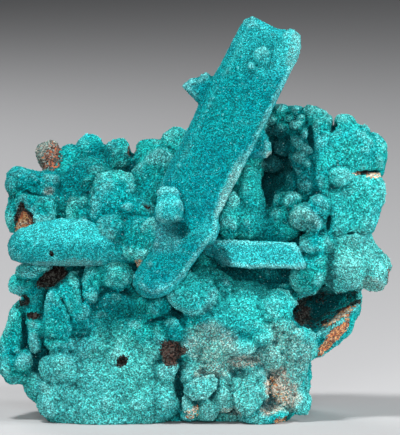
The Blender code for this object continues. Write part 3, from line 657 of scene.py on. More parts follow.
broken_edge = mix.plus(mix.stored("bare"), mix.times(mix.less(bit[1], 0.5), 0.7))
cover = mix.spread(broken_edge, 0.38, 0.58)
for label, value in (("Color", rock_colour), ("Height", mix.plus(rough_patch, pits)), ("Cover", cover)):
    gossan.links.new(value, result[label])

RELIEF_DEPTH = 0.00014
DULLEST, GLOSSIEST = 0.95, 0.62  # roughness of the grains
SHEEN_TINT = (0.12, 0.95, 0.95, 1.0)


def druse_finish(name, colours, contrast, beads, relief, solid):
    """The finish of a piece: druse, with gossan where it is bare."""
    material = bpy.data.materials.new(name)
    material.use_nodes = True
    mix = Recipe(material.node_tree)
    skin = mix.node("ShaderNodeGroup", node_tree=druse, name="skin")
    for label, colour in zip(("Blue", "Green", "Pale"), colours):
        skin.inputs[label].default_value = (*colour, 1.0)
    for label, value in (("Grain contrast", contrast), ("Beads", beads), ("Solid grains", solid)):
        skin.inputs[label].default_value = value
    rock_skin = mix.node("ShaderNodeGroup", node_tree=gossan).outputs
    cover = rock_skin["Cover"]
    height = mix.between(cover, skin.outputs["Height"], rock_skin["Height"])
    bump = mix.node("ShaderNodeBump", {"Height": height, "Strength": relief, "Distance": RELIEF_DEPTH})
    shader = material.node_tree.nodes["Principled BSDF"]
    for label, value in (
        ("Base Color", mix.blend(cover, skin.outputs["Color"], rock_skin["Color"])),
        ("Roughness", mix.spread(skin.outputs["Speck"], 0.0, 1.0, GLOSSIEST, DULLEST)),
        ("Normal", bump.outputs[0]),
    ):
        material.node_tree.links.new(value, shader.inputs[label])
    shader.inputs["Specular IOR Level"].default_value = 0.05
    shader.inputs["Sheen Weight"].default_value = 0.08
    shader.inputs["Sheen Roughness"].default_value = 0.4
    shader.inputs["Sheen Tint"].default_value = SHEEN_TINT
    return material


BLADE_COLOURS = (0.0, 0.23, 0.27), (0.002, 0.27, 0.285), (0.05, 0.60, 0.62)  # blue, green and pale
BLADE_GRAIN_SIZE = 5400.0
blade_finish = druse_finish(
    "coated_azurite_druse", BLADE_COLOURS, contrast=0.62, beads=0.25, relief=1.0, solid=0.0
)
blade_finish.node_tree.nodes["skin"].inputs["Grain size"].default_value = BLADE_GRAIN_SIZE
blade_grain_finish = druse_finish(
    "coated_azurite_grains", BLADE_COLOURS, contrast=0.66, beads=0.2, relief=0.2, solid=1.0
)


def fit_piece(piece, finish, node):
    """Gives a finished piece its material and its body, and hides the part it stands for."""
    piece.data.materials.clear()
    piece.data.materials.append(finish)
    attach(piece, "root")
    if node:
        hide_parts(node)


fit_piece(long_crystal, blade_finish, "long_crystal")

# The left crystal. A thick rounded blade, coated like the long one, that lies level and runs under it.
# Each row is (across, up of its middle, depth of its middle, half height, half depth) in mm.
LEFT_STATIONS = [
    (-38.3, 34.8, -13.0, 0.1, 0.1),
    (-38.0, 34.6, -13.0, 1.4, 1.6),
    (-37.4, 34.7, -13.0, 2.5, 2.5),
    (-36.0, 34.9, -13.0, 3.3, 3.3),
    (-33.0, 35.1, -13.1, 4.1, 4.0),
    (-28.0, 35.6, -13.2, 4.7, 4.3),
    (-23.0, 35.7, -13.2, 4.7, 4.3),
    (-20.4, 35.0, -13.0, 3.9, 3.9),
    (-17.0, 34.0, -12.6, 2.8, 3.2),
    (-13.0, 33.4, -12.0, 2.0, 2.4),
    (-10.6, 33.2, -11.6, 1.3, 1.6),
    (-10.2, 33.2, -11.6, 0.1, 0.1),
]
LEFT_LONG = 28.0
LEFT_SAG = 0.21  # its foremost line lies this share of the half height under its middle
LEAST_STEEPNESS = 0.8
LEFT_SQUARENESS = 2.5  # of its section, where 2 would be an ellipse
LEFT_PIT_MOUTH, LEFT_PIT = (-29.4, 33.4, -17.2), (-29.4, 33.4, -16.8)  # a small pit that shows the rock
# Its looks, as (name, (across, up, depth), radii, roll, strength): pale is painted light, strongest
# on its upper face, and dark is painted shade at its left end and where it runs under the long crystal
LEFT_LOOKS = [
    ("dust", (-27.0, 31.4, -13.0), (9.0, 0.9, 5.0), 4, 0.15),
    ("pale", (-26.0, 38.6, -15.0), (13.0, 4.0, 6.0), 0, 0.75),
    ("pale", (-28.0, 32.6, -16.0), (11.0, 3.0, 6.0), 0, 0.3),
    ("dark", (-37.4, 35.0, -14.0), (1.8, 5.0, 5.0), 0, 0.25),
    ("dark", (-14.0, 34.4, -14.0), (5.4, 3.6, 6.0), 0, 0.22),
]

left = Growth(low=(-40.0, -19.4, 29.4), high=(-8.6, -7.4, 42.6), step=BLADE_STEP, seed=6, wander=0.3)
x, y, z = left.points()
stations = np.array(LEFT_STATIONS).T
middle_up, middle_depth, half_up, half_deep = (
    np.interp(x + left.wander[0], stations[0], row) for row in stations[1:]
)
deep = (y - middle_depth + left.wander[1]) / half_deep
tall = (z - middle_up + left.wander[2]) / half_up
tall = tall + LEFT_SAG * np.clip(1.0 - tall * tall, 0.0, 1.0) * (deep < 0)
out = np.sqrt(tall * tall + np.abs(deep) ** LEFT_SQUARENESS)
left.depths = (out - 1.0) * np.maximum(np.minimum(half_up, half_deep), LEAST_STEEPNESS)
left.depths = left.depths.astype(np.float32)
left.depths = np.maximum(left.depths, np.abs(x - (stations[0][0] + stations[0][-1]) / 2) - LEFT_LONG / 2)
left.hollow(on_grid(*LEFT_PIT_MOUTH), (0.5, 0.6, 0.9), fillet=0.2)
left.mark("bare", on_grid(*LEFT_PIT), (0.5, 0.6, 1.2), roll=0, strength=0.9, ragged=left.wander[0])
for look, centre, radii, roll, strength in LEFT_LOOKS:
    left.mark(look, on_grid(*centre), radii, roll, strength, left.ripple(1.0))
left_crystal = coated(left, "left_crystal_druse", amount=0.9, domes=60, sizes=(0.3, 0.6), most=26_000)
fit_piece(left_crystal, blade_finish, "left_crystal")

# The right crystal. A thinner coated blade that lies level, with a sharp lower edge, a slanting end
# and a front that leans back. Each row is (across, up of its top, up of its foot, front, back) in mm.
RIGHT_STATIONS = [
    (0.6, 35.0, 33.6, -13.0, -9.0),
    (2.6, 35.9, 32.4, -15.0, -8.2),
    (4.6, 35.9, 31.0, -16.4, -8.0),
    (10.0, 35.7, 30.6, -16.8, -8.0),
    (17.0, 35.5, 30.4, -16.6, -8.0),
    (18.8, 35.3, 30.4, -16.4, -8.0),
    (19.8, 34.2, 30.4, -16.0, -8.2),
    (21.0, 31.4, 30.4, -15.0, -8.8),
]
LEFT_SLANT = [(2.4, -16.0, 35.8), (5.6, -16.9, 31.2), (0.8, -10.6, 33.0)]  # across, depth, up
RIGHT_LEAN = 0.22  # its front leans back by this share of its height
# Its looks, in the same form as the left crystal's: pale is painted light on its front, which leans
# back to the light, and dark is painted shade where the long crystal shades its left end
RIGHT_LOOKS = [
    ("dust", (14.0, 30.4, -16.0), (7.0, 0.5, 4.0), 0, 0.08),
    ("pale", (12.0, 34.4, -15.0), (9.6, 4.6, 6.0), 0, 0.72),
    ("dark", (3.8, 32.2, -15.0), (2.6, 3.2, 4.6), -20, 0.6),
]

right = Growth(low=(-0.6, -18.6, 29.0), high=(22.4, -6.6, 37.6), step=BLADE_STEP, seed=7, wander=0.22)
x, y, z = right.points()
stations = np.array(RIGHT_STATIONS).T
top, foot, front, back = (np.interp(x + right.wander[0], stations[0], row) for row in stations[1:])
z = z + right.wander[2]
sides = [foot - z, front + RIGHT_LEAN * (z - foot) - y, y - back, stations[0][0] - x, x - stations[0][-1]]
depths = z - top
for side in sides:
    depths = -join(-depths, -side, 0.5)
# its left end slants back and down from the front
corners = [Vector(corner) for corner in LEFT_SLANT]
facing = (corners[1] - corners[0]).cross(corners[2] - corners[0]).normalized()
if facing.x > 0:
    facing = -facing
slant = (x - corners[0].x) * facing.x + (y - corners[0].y) * facing.y + (z - corners[0].z) * facing.z
right.depths = (-join(-depths, -slant, 0.3)).astype(np.float32)
for look, centre, radii, roll, strength in RIGHT_LOOKS:
    right.mark(look, on_grid(*centre), radii, roll, strength, right.ripple(1.0))
right_crystal = coated(
    right, "right_crystal_druse", amount=0.9, domes=90, sizes=(0.3, 0.65), most=22_000
)
fit_piece(right_crystal, blade_finish, "right_crystal")

# The rock. Broken gossan, a porous iron oxide, under a crust of rosasite that has swollen into lumps,
# ledges and balls, all grown together into one piece, with the three blades seated in it. Lumps and
# plates are (across, up, depth), (radius across, radius up, radius in depth), roll, in mm.
ROCK_STEP = 0.31  # of the grid
# Corners of the gossan core, as (across, up, depth) in mm. Each list is one convex block of rock
LOWER_CORE = [
    (-30, 0, -10), (17, -1, -12), (19.5, 8, -8), (-33, 9, -8), (-34, 27, -8), (21, 27, -9),
    (-27, -4, 13), (19, -4, 14), (21, 20, 13), (-31, 24, 11), (-8, 8, 18), (10, 26, 17),
    (-20, -4, 16), (13, -4, 17), (22, 14, 2), (-10, 27, 18),
]
LEFT_CORE = [
    (-34, 20, -6), (-35, 44, -3), (-33, 46, 3), (-31, 16, 11), (-34, 40, 8), (-24, 49, 0),
    (-22, 48, 9), (-4, 53, 1), (-3, 51, 11), (0, 14, 15), (3, 27, -10), (-5, 50, -4),
    (-18, 22, -9), (-18, 40, -8), (-14, 38, 17), (-22, 30, 15),
]
MIDDLE_CORE = [
    (-4, 18, -9), (22, 24, -7), (-4, 54, 0), (13, 57, 4), (20, 54, 4), (-3, 50, 13),
    (17, 50, 14), (22, 16, 14), (-2, 14, 18), (9, 42, -7), (6, 40, 19), (18, 40, -4),
]
RIGHT_CORE = [
    (21, 26, -3), (33, 27, -3), (22, 41, -7), (34, 45, -6), (35, 57, -3), (27, 58, -4),
    (20, 59, -1), (19, 57, 9), (33, 53, 8), (32, 32, 8), (18, 16, 12), (27, 40, 13), (30, 24, 2),
]
# The two plates at the lower right: the one the broken ledge stands on, and the ledge
LEDGE_CORE = [
    (20, 12, -9), (24.4, 13, -8), (26, 14.2, -6), (30.2, 17.4, -5), (32.2, 24.2, -4),
    (28.4, 20.2, -8.5), (23, 17.0, -10.5), (21, 15.4, -10), (22, 13, 4), (28, 20, 6), (19, 20, 4),
    (32.0, 24.6, 2),
]
FRONT_PLATE = [
    (-3.4, 7.0, -16.9), (-1.0, 8.6, -17.0), (2.4, 9.3, -16.6), (3.8, 8.4, -16.4), (3.4, 6.4, -16.9),
    (1.6, 4.4, -17.3), (-1.6, 4.0, -17.4), (-3.3, 5.2, -17.3), (-2.4, 6.4, -12), (2.6, 7.4, -12),
    (0.0, 5.0, -12),
]
# The broken steps of the back
BACK_STEPS = [
    [
        (-30, 43, 6), (-22, 46, 8), (-16, 45, 13), (-28, 39, 11), (-31, 30, 9), (-18, 29, 16.5),
        (-14, 36, 16.5), (-24, 34, 15), (-20, 43, 2), (-28, 30, 3),
    ],
    [
        (-14, 48, 6), (2, 50, 10), (6, 47, 15), (-10, 46, 15), (-12, 34, 17.6), (4, 32, 19.6),
        (8, 40, 17.6), (-4, 41, 18.4), (-8, 33, 7), (4, 35, 7),
    ],
    [
        (4, 48, 10), (20, 53, 8), (29, 49, 8), (25, 43, 13), (10, 45, 16), (20, 34, 15.6),
        (28, 34, 11), (8, 33, 17.6), (16, 39, 5), (24, 38, 3),
    ],
    [
        (-31, 30, 8), (-16, 32, 15.6), (-12, 20, 18.6), (-27, 16, 14), (-30, 18, 10),
        (-20, 11, 16.6), (-14, 26, 18), (-24, 24, 3),
    ],
    [
        (-4, 33, 17.6), (12, 34, 17.4), (20, 26, 14), (15, 13, 16.4), (2, 11, 18.2), (-6, 18, 18.6),
        (8, 24, 19.4), (8, 22, 5),
    ],
    [
        (6, 15, 17), (17, 16, 13.4), (18.6, 4, 12.6), (10, -3, 16.4), (3, 3, 17.4), (12, 8, 3),
    ],
]
CORES = [LOWER_CORE, LEFT_CORE, MIDDLE_CORE, RIGHT_CORE, LEDGE_CORE, FRONT_PLATE, *BACK_STEPS]

# Lumps of crust, each as (across, up, depth), (radius across, radius up, radius in depth), roll.
# Roll is in degrees, anticlockwise as the display side shows it
TOP_LEFT_CREST = [
    ((-30.3, 53.0, 0.5), (2.2, 2.9, 2.3), 0),
    ((-29.8, 50.2, 0.0), (1.9, 2.4, 2.2), 0),
    ((-26.4, 50.6, 2.0), (3.4, 4.2, 4.4), 0),
    ((-22.0, 54.2, 1.0), (2.6, 2.8, 3.2), -15),
    ((-22.0, 48.8, -1.5), (4.8, 4.2, 4.4), 5),
    ((-16.2, 52.4, 0.0), (3.4, 3.8, 4.0), 10),
    ((-9.8, 52.8, -0.5), (3.8, 3.6, 4.2), 20),
    ((-5.2, 56.3, 0.0), (2.4, 2.4, 2.8), 0),
    ((-4.0, 53.6, -1.0), (3.4, 3.6, 4.0), 0),
    ((1.0, 55.0, 3.0), (5.0, 4.0, 5.0), 0),
    ((8.5, 57.0, 4.0), (4.6, 3.6, 4.6), 0),
]
UPPER_LEFT_WALL = [
    ((-36.2, 47.6, -3.5), (2.3, 2.9, 3.6), 0),
    ((-25.0, 46.6, -2.6), (4.6, 4.8, 4.0), 0),
    ((-22.9, 47.0, -5.6), (1.5, 1.9, 1.8), 0),
    ((-26.8, 43.2, -5.0), (2.6, 3.4, 3.4), 0),
    ((-37.3, 41.6, -3.6), (1.3, 3.9, 3.0), -4),
    ((-34.4, 40.6, -2.6), (3.0, 5.0, 4.4), 0),
    ((-9.6, 47.4, -5.6), (4.2, 7.0, 4.4), -22),
    ((-12.8, 41.2, -9.4), (4.4, 4.6, 3.6), 20),
    ((-8.6, 36.4, -10.4), (3.8, 4.4, 3.6), 0),
    ((-15.6, 38.2, -10.4), (4.4, 3.0, 3.2), 0),
    ((-14.4, 42.2, -12.0), (1.3, 1.2, 1.4), 0),
    ((-17.4, 38.4, -12.8), (3.6, 2.6, 3.2), 0),
    ((-12.4, 37.2, -13.2), (3.8, 3.2, 3.4), 0),
    ((-12.6, 34.4, -12.8), (3.6, 2.6, 3.4), 0),
    ((-9.0, 35.8, -14.8), (2.6, 4.4, 3.6), -14),
    ((-10.4, 31.6, -13.4), (2.6, 2.2, 3.0), 0),
    ((-9.6, 36.8, -15.6), (2.6, 3.4, 2.7), -12),
    ((-11.0, 34.0, -14.6), (2.4, 2.2, 2.6), 0),
]
UNDER_LEFT_CRYSTAL = [
    ((-33.4, 30.0, -10.0), (3.6, 1.5, 3.4), 6),
    ((-35.6, 27.0, -8.6), (2.5, 2.1, 3.2), 0),
    ((-33.0, 22.6, -7.6), (2.6, 4.8, 4.0), 6),
    ((-17.0, 29.0, -12.6), (3.4, 2.8, 2.8), -20),
    ((-15.4, 23.4, -10.0), (7.0, 3.6, 4.0), 0),
    ((-16.6, 23.9, -12.0), (4.7, 2.7, 3.2), 0),
    ((-8.4, 22.0, -11.0), (3.0, 3.4, 3.2), -10),
    ((-33.0, 16.0, -11.8), (1.3, 2.4, 2.4), 4),
    ((-32.4, 19.0, -11.0), (2.0, 1.3, 2.4), 0),
]
LEFT_FOOT = [
    ((-35.4, 16.0, -4.0), (3.0, 8.0, 5.0), 0),
    ((-35.5, 11.8, -9.8), (2.2, 2.3, 2.8), 0),
    ((-38.4, 11.6, -8.4), (1.8, 3.1, 2.8), 0),
    ((-36.8, 9.2, -7.0), (2.4, 1.8, 3.4), 0),
    ((-32.6, 6.8, -8.0), (2.4, 3.8, 4.0), 30),
]
LOWER_WALL = [
    ((-27.6, 15.4, -12.6), (3.4, 2.4, 2.6), 0),
    ((-28.0, 10.8, -13.0), (4.0, 3.0, 3.2), 4),
    ((-21.6, 14.4, -12.6), (3.2, 3.6, 3.0), 0),
    ((-17.0, 9.0, -6.0), (13.4, 11.6, 10.6), 0),
    ((-26.0, 5.4, -9.0), (7.2, 5.0, 6.4), 0),
    ((-12.0, 16.0, -10.0), (7.4, 5.0, 5.6), 0),
    ((-20.6, 20.0, -10.6), (6.0, 4.2, 4.4), 0),
    ((-14.4, 18.6, -11.2), (5.0, 3.0, 4.2), 0),
    ((-8.2, 16.8, -13.6), (2.1, 2.4, 2.4), 0),
    ((-5.3, 18.4, -13.8), (1.6, 2.8, 2.2), 14),
    ((-6.2, 10.0, -14.2), (2.6, 2.1, 2.4), 0),
    ((-28.0, 3.4, -12.0), (4.8, 3.2, 3.6), 0),
    ((-20.0, 3.2, -13.4), (4.4, 3.0, 3.4), 0),
    ((-13.2, 3.0, -13.8), (3.4, 2.8, 3.2), 0),
    ((-2.2, 15.4, -12.4), (2.8, 5.2, 3.4), 0),
    ((-18.4, 2.4, -10.4), (12.6, 9.4, 6.2), 0),
    ((-7.0, 4.8, -13.0), (2.5, 4.7, 3.4), 4),
    ((-11.6, 4.6, -12.4), (3.6, 5.0, 4.0), 0),
]
LOWER_RIGHT = [
    ((12.4, 13.8, -12.4), (3.2, 2.8, 3.0), 0),
    ((16.6, 18.6, -12.4), (2.6, 3.2, 3.0), 0),
    ((-1.4, 9.8, -12.8), (2.5, 3.0, 2.8), 0),
    ((1.6, 2.4, -13.6), (2.2, 2.4, 2.8), 0),
    ((-2.2, 2.4, -13.4), (1.8, 2.6, 2.6), 0),
    ((3.4, 10.6, -12.8), (3.0, 2.6, 2.8), 0),
    ((5.2, 8.8, -13.4), (1.7, 2.5, 2.4), 0),
    ((5.0, 4.4, -13.8), (2.0, 3.0, 2.6), 0),
    ((10.6, 9.2, -13.4), (2.6, 2.1, 2.5), 0),
    ((12.4, 6.2, -13.8), (1.6, 2.1, 2.2), 0),
    ((16.8, 6.8, -9.6), (3.8, 5.0, 3.6), 0),
    ((19.6, 4.2, -10.8), (1.9, 2.8, 2.6), -12),
    ((12.8, 1.0, -13.0), (5.0, 1.8, 3.6), 4),
    ((8.3, 14.8, -15.2), (2.6, 1.5, 2.2), 0),
    ((12.4, 16.5, -15.0), (2.2, 1.6, 2.2), 0),
    ((16.2, 15.4, -13.6), (1.3, 1.5, 1.8), 0),
    ((20.0, 14.2, -11.2), (3.4, 3.6, 3.8), 0),
    ((20.2, 17.0, -12.8), (2.6, 1.6, 2.4), 0),
    ((14.4, 13.2, -13.0), (3.4, 3.0, 3.2), 0),
    ((18.2, 9.8, -10.8), (3.4, 2.8, 3.4), 20),
    ((4.0, 14.4, -10.2), (6.0, 5.6, 5.6), 0),
    ((8.8, 11.4, -12.6), (3.4, 1.9, 2.8), 0),
]
MIDDLE_WALL = [
    ((8.0, 21.0, -8.4), (11.2, 6.8, 7.2), -4),
    ((-2.4, 25.6, -13.4), (3.9, 3.9, 3.3), 10),
    ((0.9, 26.4, -13.4), (2.0, 3.1, 2.6), -10),
    ((-2.4, 19.4, -12.0), (2.2, 2.0, 2.8), 0),
    ((2.6, 28.2, -11.2), (4.8, 2.2, 3.0), -24),
    ((1.6, 19.0, -12.2), (4.4, 3.6, 3.2), 0),
    ((15.4, 22.4, -12.0), (3.8, 3.6, 3.4), 0),
    ((10.6, 18.6, -13.6), (3.0, 2.2, 2.4), 0),
    ((21.3, 29.0, -9.8), (2.8, 3.9, 3.8), 0),
    ((23.2, 30.2, -11.0), (1.9, 3.8, 2.8), -6),
]
ABOVE_RIGHT_CRYSTAL = [
    ((10.2, 45.2, -8.2), (2.7, 5.8, 3.4), 4),
    ((5.8, 40.4, -10.4), (2.6, 4.6, 2.8), 0),
    ((9.6, 39.4, -9.4), (3.2, 3.4, 3.0), 0),
    ((6.6, 43.6, -12.0), (1.2, 1.5, 1.4), 0),
    ((15.4, 38.6, -7.0), (4.6, 3.4, 3.4), 0),
    ((15.9, 41.2, -8.4), (2.1, 2.2, 2.4), 15),
    ((15.6, 44.2, -8.4), (1.5, 1.4, 1.8), 0),
    ((18.2, 43.8, -9.0), (1.9, 1.6, 2.0), 0),
    ((20.7, 40.5, -11.0), (2.7, 2.7, 2.9), 0),
    ((23.6, 42.6, -10.2), (2.1, 2.5, 2.6), 0),
    ((23.2, 35.2, -10.2), (3.3, 2.4, 3.2), 0),
    ((26.2, 33.6, -7.6), (2.4, 6.4, 3.4), 0),
]
RIGHT_BALLS = [
    ((30.4, 36.2, -8.0), (3.8, 3.6, 4.0), 0),
    ((29.2, 30.4, -9.2), (4.3, 5.4, 4.6), 0),
    ((31.6, 32.0, -7.6), (4.4, 5.0, 4.2), 0),
    ((34.9, 29.8, -7.2), (3.1, 4.2, 4.0), 0),
    ((29.0, 24.6, 4.6), (3.4, 5.4, 4.6), 0),
]
UPPER_RIGHT_SLABS = [
    ((23.5, 55.8, -6.8), (2.1, 4.8, 2.6), 0),
    ((23.1, 38.8, -10.6), (1.5, 2.4, 2.4), 0),
    ((28.6, 58.8, -4.6), (2.4, 2.2, 3.0), 0),
    ((34.6, 52.6, -4.2), (2.5, 4.6, 3.4), 0),
    ((25.2, 56.2, -5.0), (3.2, 3.6, 3.4), 0),
    ((25.6, 50.4, -7.6), (2.4, 6.6, 3.2), 0),
    ((28.6, 40.6, -8.8), (3.0, 3.6, 3.4), 0),
    ((20.1, 54.0, -5.0), (2.2, 6.6, 3.6), 0),
    ((21.3, 49.0, -6.0), (2.5, 6.0, 3.0), 4),
]
RIM_BALLS = [
    ((15.8, 60.6, -2.4), (2.0, 2.0, 2.4), 0),
    ((18.8, 61.1, -3.2), (1.7, 1.7, 2.0), 0),
    ((21.7, 60.7, -4.0), (1.8, 1.7, 2.0), 0),
    ((23.7, 60.9, -4.6), (1.2, 1.2, 1.4), 0),
    ((25.2, 59.3, -4.8), (1.3, 1.3, 1.6), 0),
    ((17.4, 57.8, 0.6), (4.2, 3.6, 4.0), 0),
    ((14.4, 55.0, 5.0), (4.6, 5.0, 4.4), 0),
]
BACK_OF_CREST = [
    ((-29.4, 40.2, 6.0), (3.0, 4.6, 4.2), 0),
    ((-25.4, 46.2, 4.6), (4.4, 3.2, 4.6), 20),
    ((-19.0, 45.4, 9.6), (3.2, 2.4, 2.8), 0),
    ((-15.4, 50.2, 6.4), (4.6, 3.2, 4.4), -10),
    ((-9.6, 48.2, 11.0), (4.4, 3.6, 3.6), 0),
    ((-3.6, 52.6, 6.2), (3.0, 2.6, 3.6), 10),
    ((-1.6, 48.6, 13.0), (2.6, 2.2, 2.4), 10),
    ((5.6, 51.8, 9.6), (4.8, 3.6, 4.4), 0),
    ((11.4, 47.8, 14.2), (3.4, 2.8, 2.8), 0),
    ((14.6, 53.4, 9.2), (3.4, 3.2, 4.0), 0),
    ((21.4, 54.6, 5.4), (4.2, 3.8, 4.2), 0),
    ((24.8, 49.6, 9.8), (2.8, 3.0, 2.6), 0),
    ((29.6, 53.4, 3.8), (3.6, 4.0, 4.2), 0),
    ((31.6, 46.0, 5.6), (2.6, 4.4, 3.6), 0),
]
SIDE_CRUST = [
    ((-33.2, 36.0, 3.0), (2.8, 4.6, 4.4), 0),
    ((-31.6, 29.0, 5.6), (3.2, 4.0, 4.2), 0),
    ((-33.0, 24.0, 2.0), (2.8, 4.0, 4.4), 0),
    ((-31.0, 18.0, 7.4), (3.2, 4.0, 3.8), 0),
    ((-30.0, 10.0, 6.4), (3.4, 4.4, 4.4), 0),
    ((-28.6, 4.4, 2.0), (3.6, 3.8, 4.4), 0),
    ((32.4, 41.0, 2.0), (2.8, 4.6, 4.2), 0),
    ((31.4, 34.4, 4.4), (3.2, 4.2, 4.0), 0),
    ((19.4, 9.0, 1.0), (2.4, 4.4, 4.4), 0),
    ((18.6, 4.0, 4.4), (2.6, 3.4, 4.0), 0),
    ((20.0, 14.4, 8.0), (2.8, 3.8, 3.8), 0),
]
BACK_PATCH = [
    ((-10.0, 30.0, 16.6), (4.2, 3.4, 2.8), 0),
    ((-5.0, 27.0, 17.4), (3.8, 3.4, 2.8), 0),
    ((-9.0, 24.0, 17.0), (3.2, 3.0, 2.8), 0),
    ((-1.0, 30.6, 17.4), (3.0, 2.8, 2.6), 0),
    ((-14.6, 26.4, 16.6), (3.0, 3.6, 2.6), 0),
]
LUMPS = (
    TOP_LEFT_CREST + UPPER_LEFT_WALL + UNDER_LEFT_CRYSTAL + LEFT_FOOT + LOWER_WALL + LOWER_RIGHT
    + MIDDLE_WALL + ABOVE_RIGHT_CRYSTAL + RIGHT_BALLS + UPPER_RIGHT_SLABS + RIM_BALLS + BACK_OF_CREST
    + SIDE_CRUST + BACK_PATCH
)

# Lumps with flat faces: coated crystals, in the same form as the other lumps
PLATES = [
    ((-33.0, 47.3, -4.4), (4.9, 2.8, 4.0), -8),
    ((-32.6, 43.6, -5.8), (4.3, 2.2, 4.2), -6),
    ((-31.2, 41.4, -7.8), (2.6, 2.3, 2.8), -8),
    ((-24.2, 42.2, -8.2), (2.3, 2.5, 2.6), -6),
    ((-26.8, 21.6, -11.2), (2.8, 5.2, 2.8), -14),
    ((-28.0, 21.8, -13.2), (2.8, 5.2, 2.8), -6),
    ((-25.4, 24.6, -12.8), (2.1, 5.0, 2.8), 14),
    ((-22.0, 27.2, -12.4), (1.8, 3.5, 2.8), -18),
    ((-37.7, 17.4, -8.4), (1.3, 4.8, 1.8), -19),
    ((9.2, 5.4, -13.8), (2.6, 3.9, 2.6), 2),
    ((28.6, 52.6, -6.4), (5.6, 6.2, 3.8), 0),
    ((30.8, 43.8, -7.6), (5.4, 6.4, 4.0), -8),
    ((20.4, 3.8, -10.2), (1.4, 2.2, 2.0), -12),
]
PLATE_POWER = 4.0  # 2 would be an ellipsoid, and higher powers are closer to a box

# Hollows in the crust, in the same form as the lumps
HOLLOWS = [
    ((15.3, 51.8, -4.6), (3.4, 6.9, 11.0), 0),
    ((13.8, 47.8, -4.0), (1.8, 4.6, 11.0), 0),
    ((22.2, 55.6, -9.0), (0.6, 4.0, 3.0), 0),
    ((17.8, 42.2, -11.2), (0.6, 0.5, 2.2), 0),
    ((23.8, 22.2, -11.0), (6.0, 3.0, 10.0), 10),
    ((29.4, 24.2, -10.6), (3.8, 1.7, 8.6), 20),
    ((-29.4, 28.8, -12.4), (3.8, 1.7, 7.0), 20),
    ((-35.0, 23.8, -10.0), (1.3, 1.2, 4.0), 0),
    ((-34.8, 17.6, -11.6), (0.7, 4.4, 4.0), 0),
    ((-6.0, 13.4, -16.0), (2.2, 2.3, 2.2), 0),
    ((-16.0, 11.8, -16.4), (1.3, 1.1, 3.0), -20),
    ((-4.0, 5.6, -16.0), (0.6, 5.2, 4.4), 4),
    ((-13.4, 54.2, -1.0), (0.8, 1.8, 5.0), 0),
    ((26.5, 59.6, -5.0), (0.8, 1.9, 7.0), 0),
    ((25.8, 39.4, -11.6), (0.6, 1.9, 4.0), 0),
    ((29.0, 37.4, -12.0), (3.8, 0.3, 2.6), 3),
    ((-33.2, 45.3, -9.6), (4.2, 0.35, 1.6), -9),
    ((-23.8, 26.4, -15.2), (0.26, 3.2, 1.8), 0),
    ((-26.9, 23.0, -15.8), (0.26, 3.4, 1.8), 20),
    ((33.0, 49.6, -9.0), (3.4, 0.5, 4.4), 0),
    ((14.0, 7.0, -14.8), (0.7, 2.4, 3.0), 0),
    ((-34.6, 40.2, -9.4), (2.2, 2.0, 1.6), 0),
    ((-35.4, 42.4, -9.6), (0.8, 1.2, 1.4), -20),
    ((-8.6, 19.8, -15.4), (3.0, 0.5, 2.6), 12),
    ((-14.4, 25.8, -14.4), (1.8, 0.5, 2.4), 8),
    ((-10.4, 42.4, -15.0), (0.9, 0.7, 1.6), 0),
    ((20.6, 15.4, -15.8), (0.6, 0.6, 1.6), 0),
    ((16.6, 13.3, -16.0), (0.5, 0.5, 1.6), 0),
    ((16.8, 17.2, -15.6), (0.7, 0.4, 1.6), 0),
]

# Smaller forms that stand out on them
SMALL_FORMS = [
    ((6.6, 38.4, -12.6), (0.7, 0.9, 0.8), 0),
    ((16.4, 61.8, -4.0), (1.2, 1.3, 1.4), 0),
    ((14.6, 60.2, -3.6), (1.0, 1.2, 1.4), 0),
    ((19.0, 61.7, -4.4), (1.2, 1.2, 1.4), 0),
    ((21.4, 61.6, -4.8), (1.2, 1.2, 1.4), 0),
    ((23.2, 61.8, -5.0), (0.7, 0.7, 0.9), 0),
    ((22.6, 60.2, -5.6), (1.0, 1.0, 1.2), 0),
    ((20.2, 60.2, -5.8), (0.9, 0.9, 1.2), 0),
    ((25.0, 60.0, -5.4), (0.7, 0.8, 1.0), 0),
    ((17.6, 60.2, -5.2), (0.9, 0.8, 1.0), 0),
    ((32.0, 52.4, -9.0), (0.9, 1.2, 1.2), 0),
    ((32.6, 55.2, -8.6), (0.9, 1.2, 1.2), 0),
    ((33.0, 57.6, -7.6), (1.0, 1.2, 1.2), 0),
    ((30.4, 51.2, -9.4), (0.8, 1.0, 1.0), 0),
    ((15.2, 44.4, -9.4), (0.9, 0.7, 0.9), 0),
    ((27.4, 49.0, -11.2), (2.2, 2.1, 2.2), 0),
    ((19.2, 58.6, -8.0), (1.1, 1.0, 1.2), 0),
    ((20.8, 57.2, -8.2), (1.0, 1.1, 1.2), 0),
    ((19.4, 55.6, -8.4), (1.2, 1.0, 1.2), 0),
    ((20.9, 54.4, -8.4), (1.0, 1.2, 1.2), 0),
    ((19.5, 52.8, -8.4), (1.1, 1.1, 1.2), 0),
    ((20.8, 51.4, -8.2), (1.0, 1.0, 1.2), 0),
    ((19.8, 49.8, -7.8), (1.1, 1.1, 1.2), 0),
]

# Forms that stand in the hollows: the balls and the column of the cave, the gossan ball in its cup
FORMS_IN_HOLLOWS = [
    ((17.0, 54.6, -3.6), (1.8, 1.4, 1.7), 0),
    ((14.2, 51.3, -1.6), (2.1, 1.3, 3.4), 0),
    ((18.1, 46.8, -4.4), (1.4, 3.0, 2.6), 0),
    ((16.6, 58.2, -3.0), (2.2, 1.6, 2.4), 0),
    ((-6.0, 13.4, -13.5), (1.9, 2.1, 2.0), 0),
]

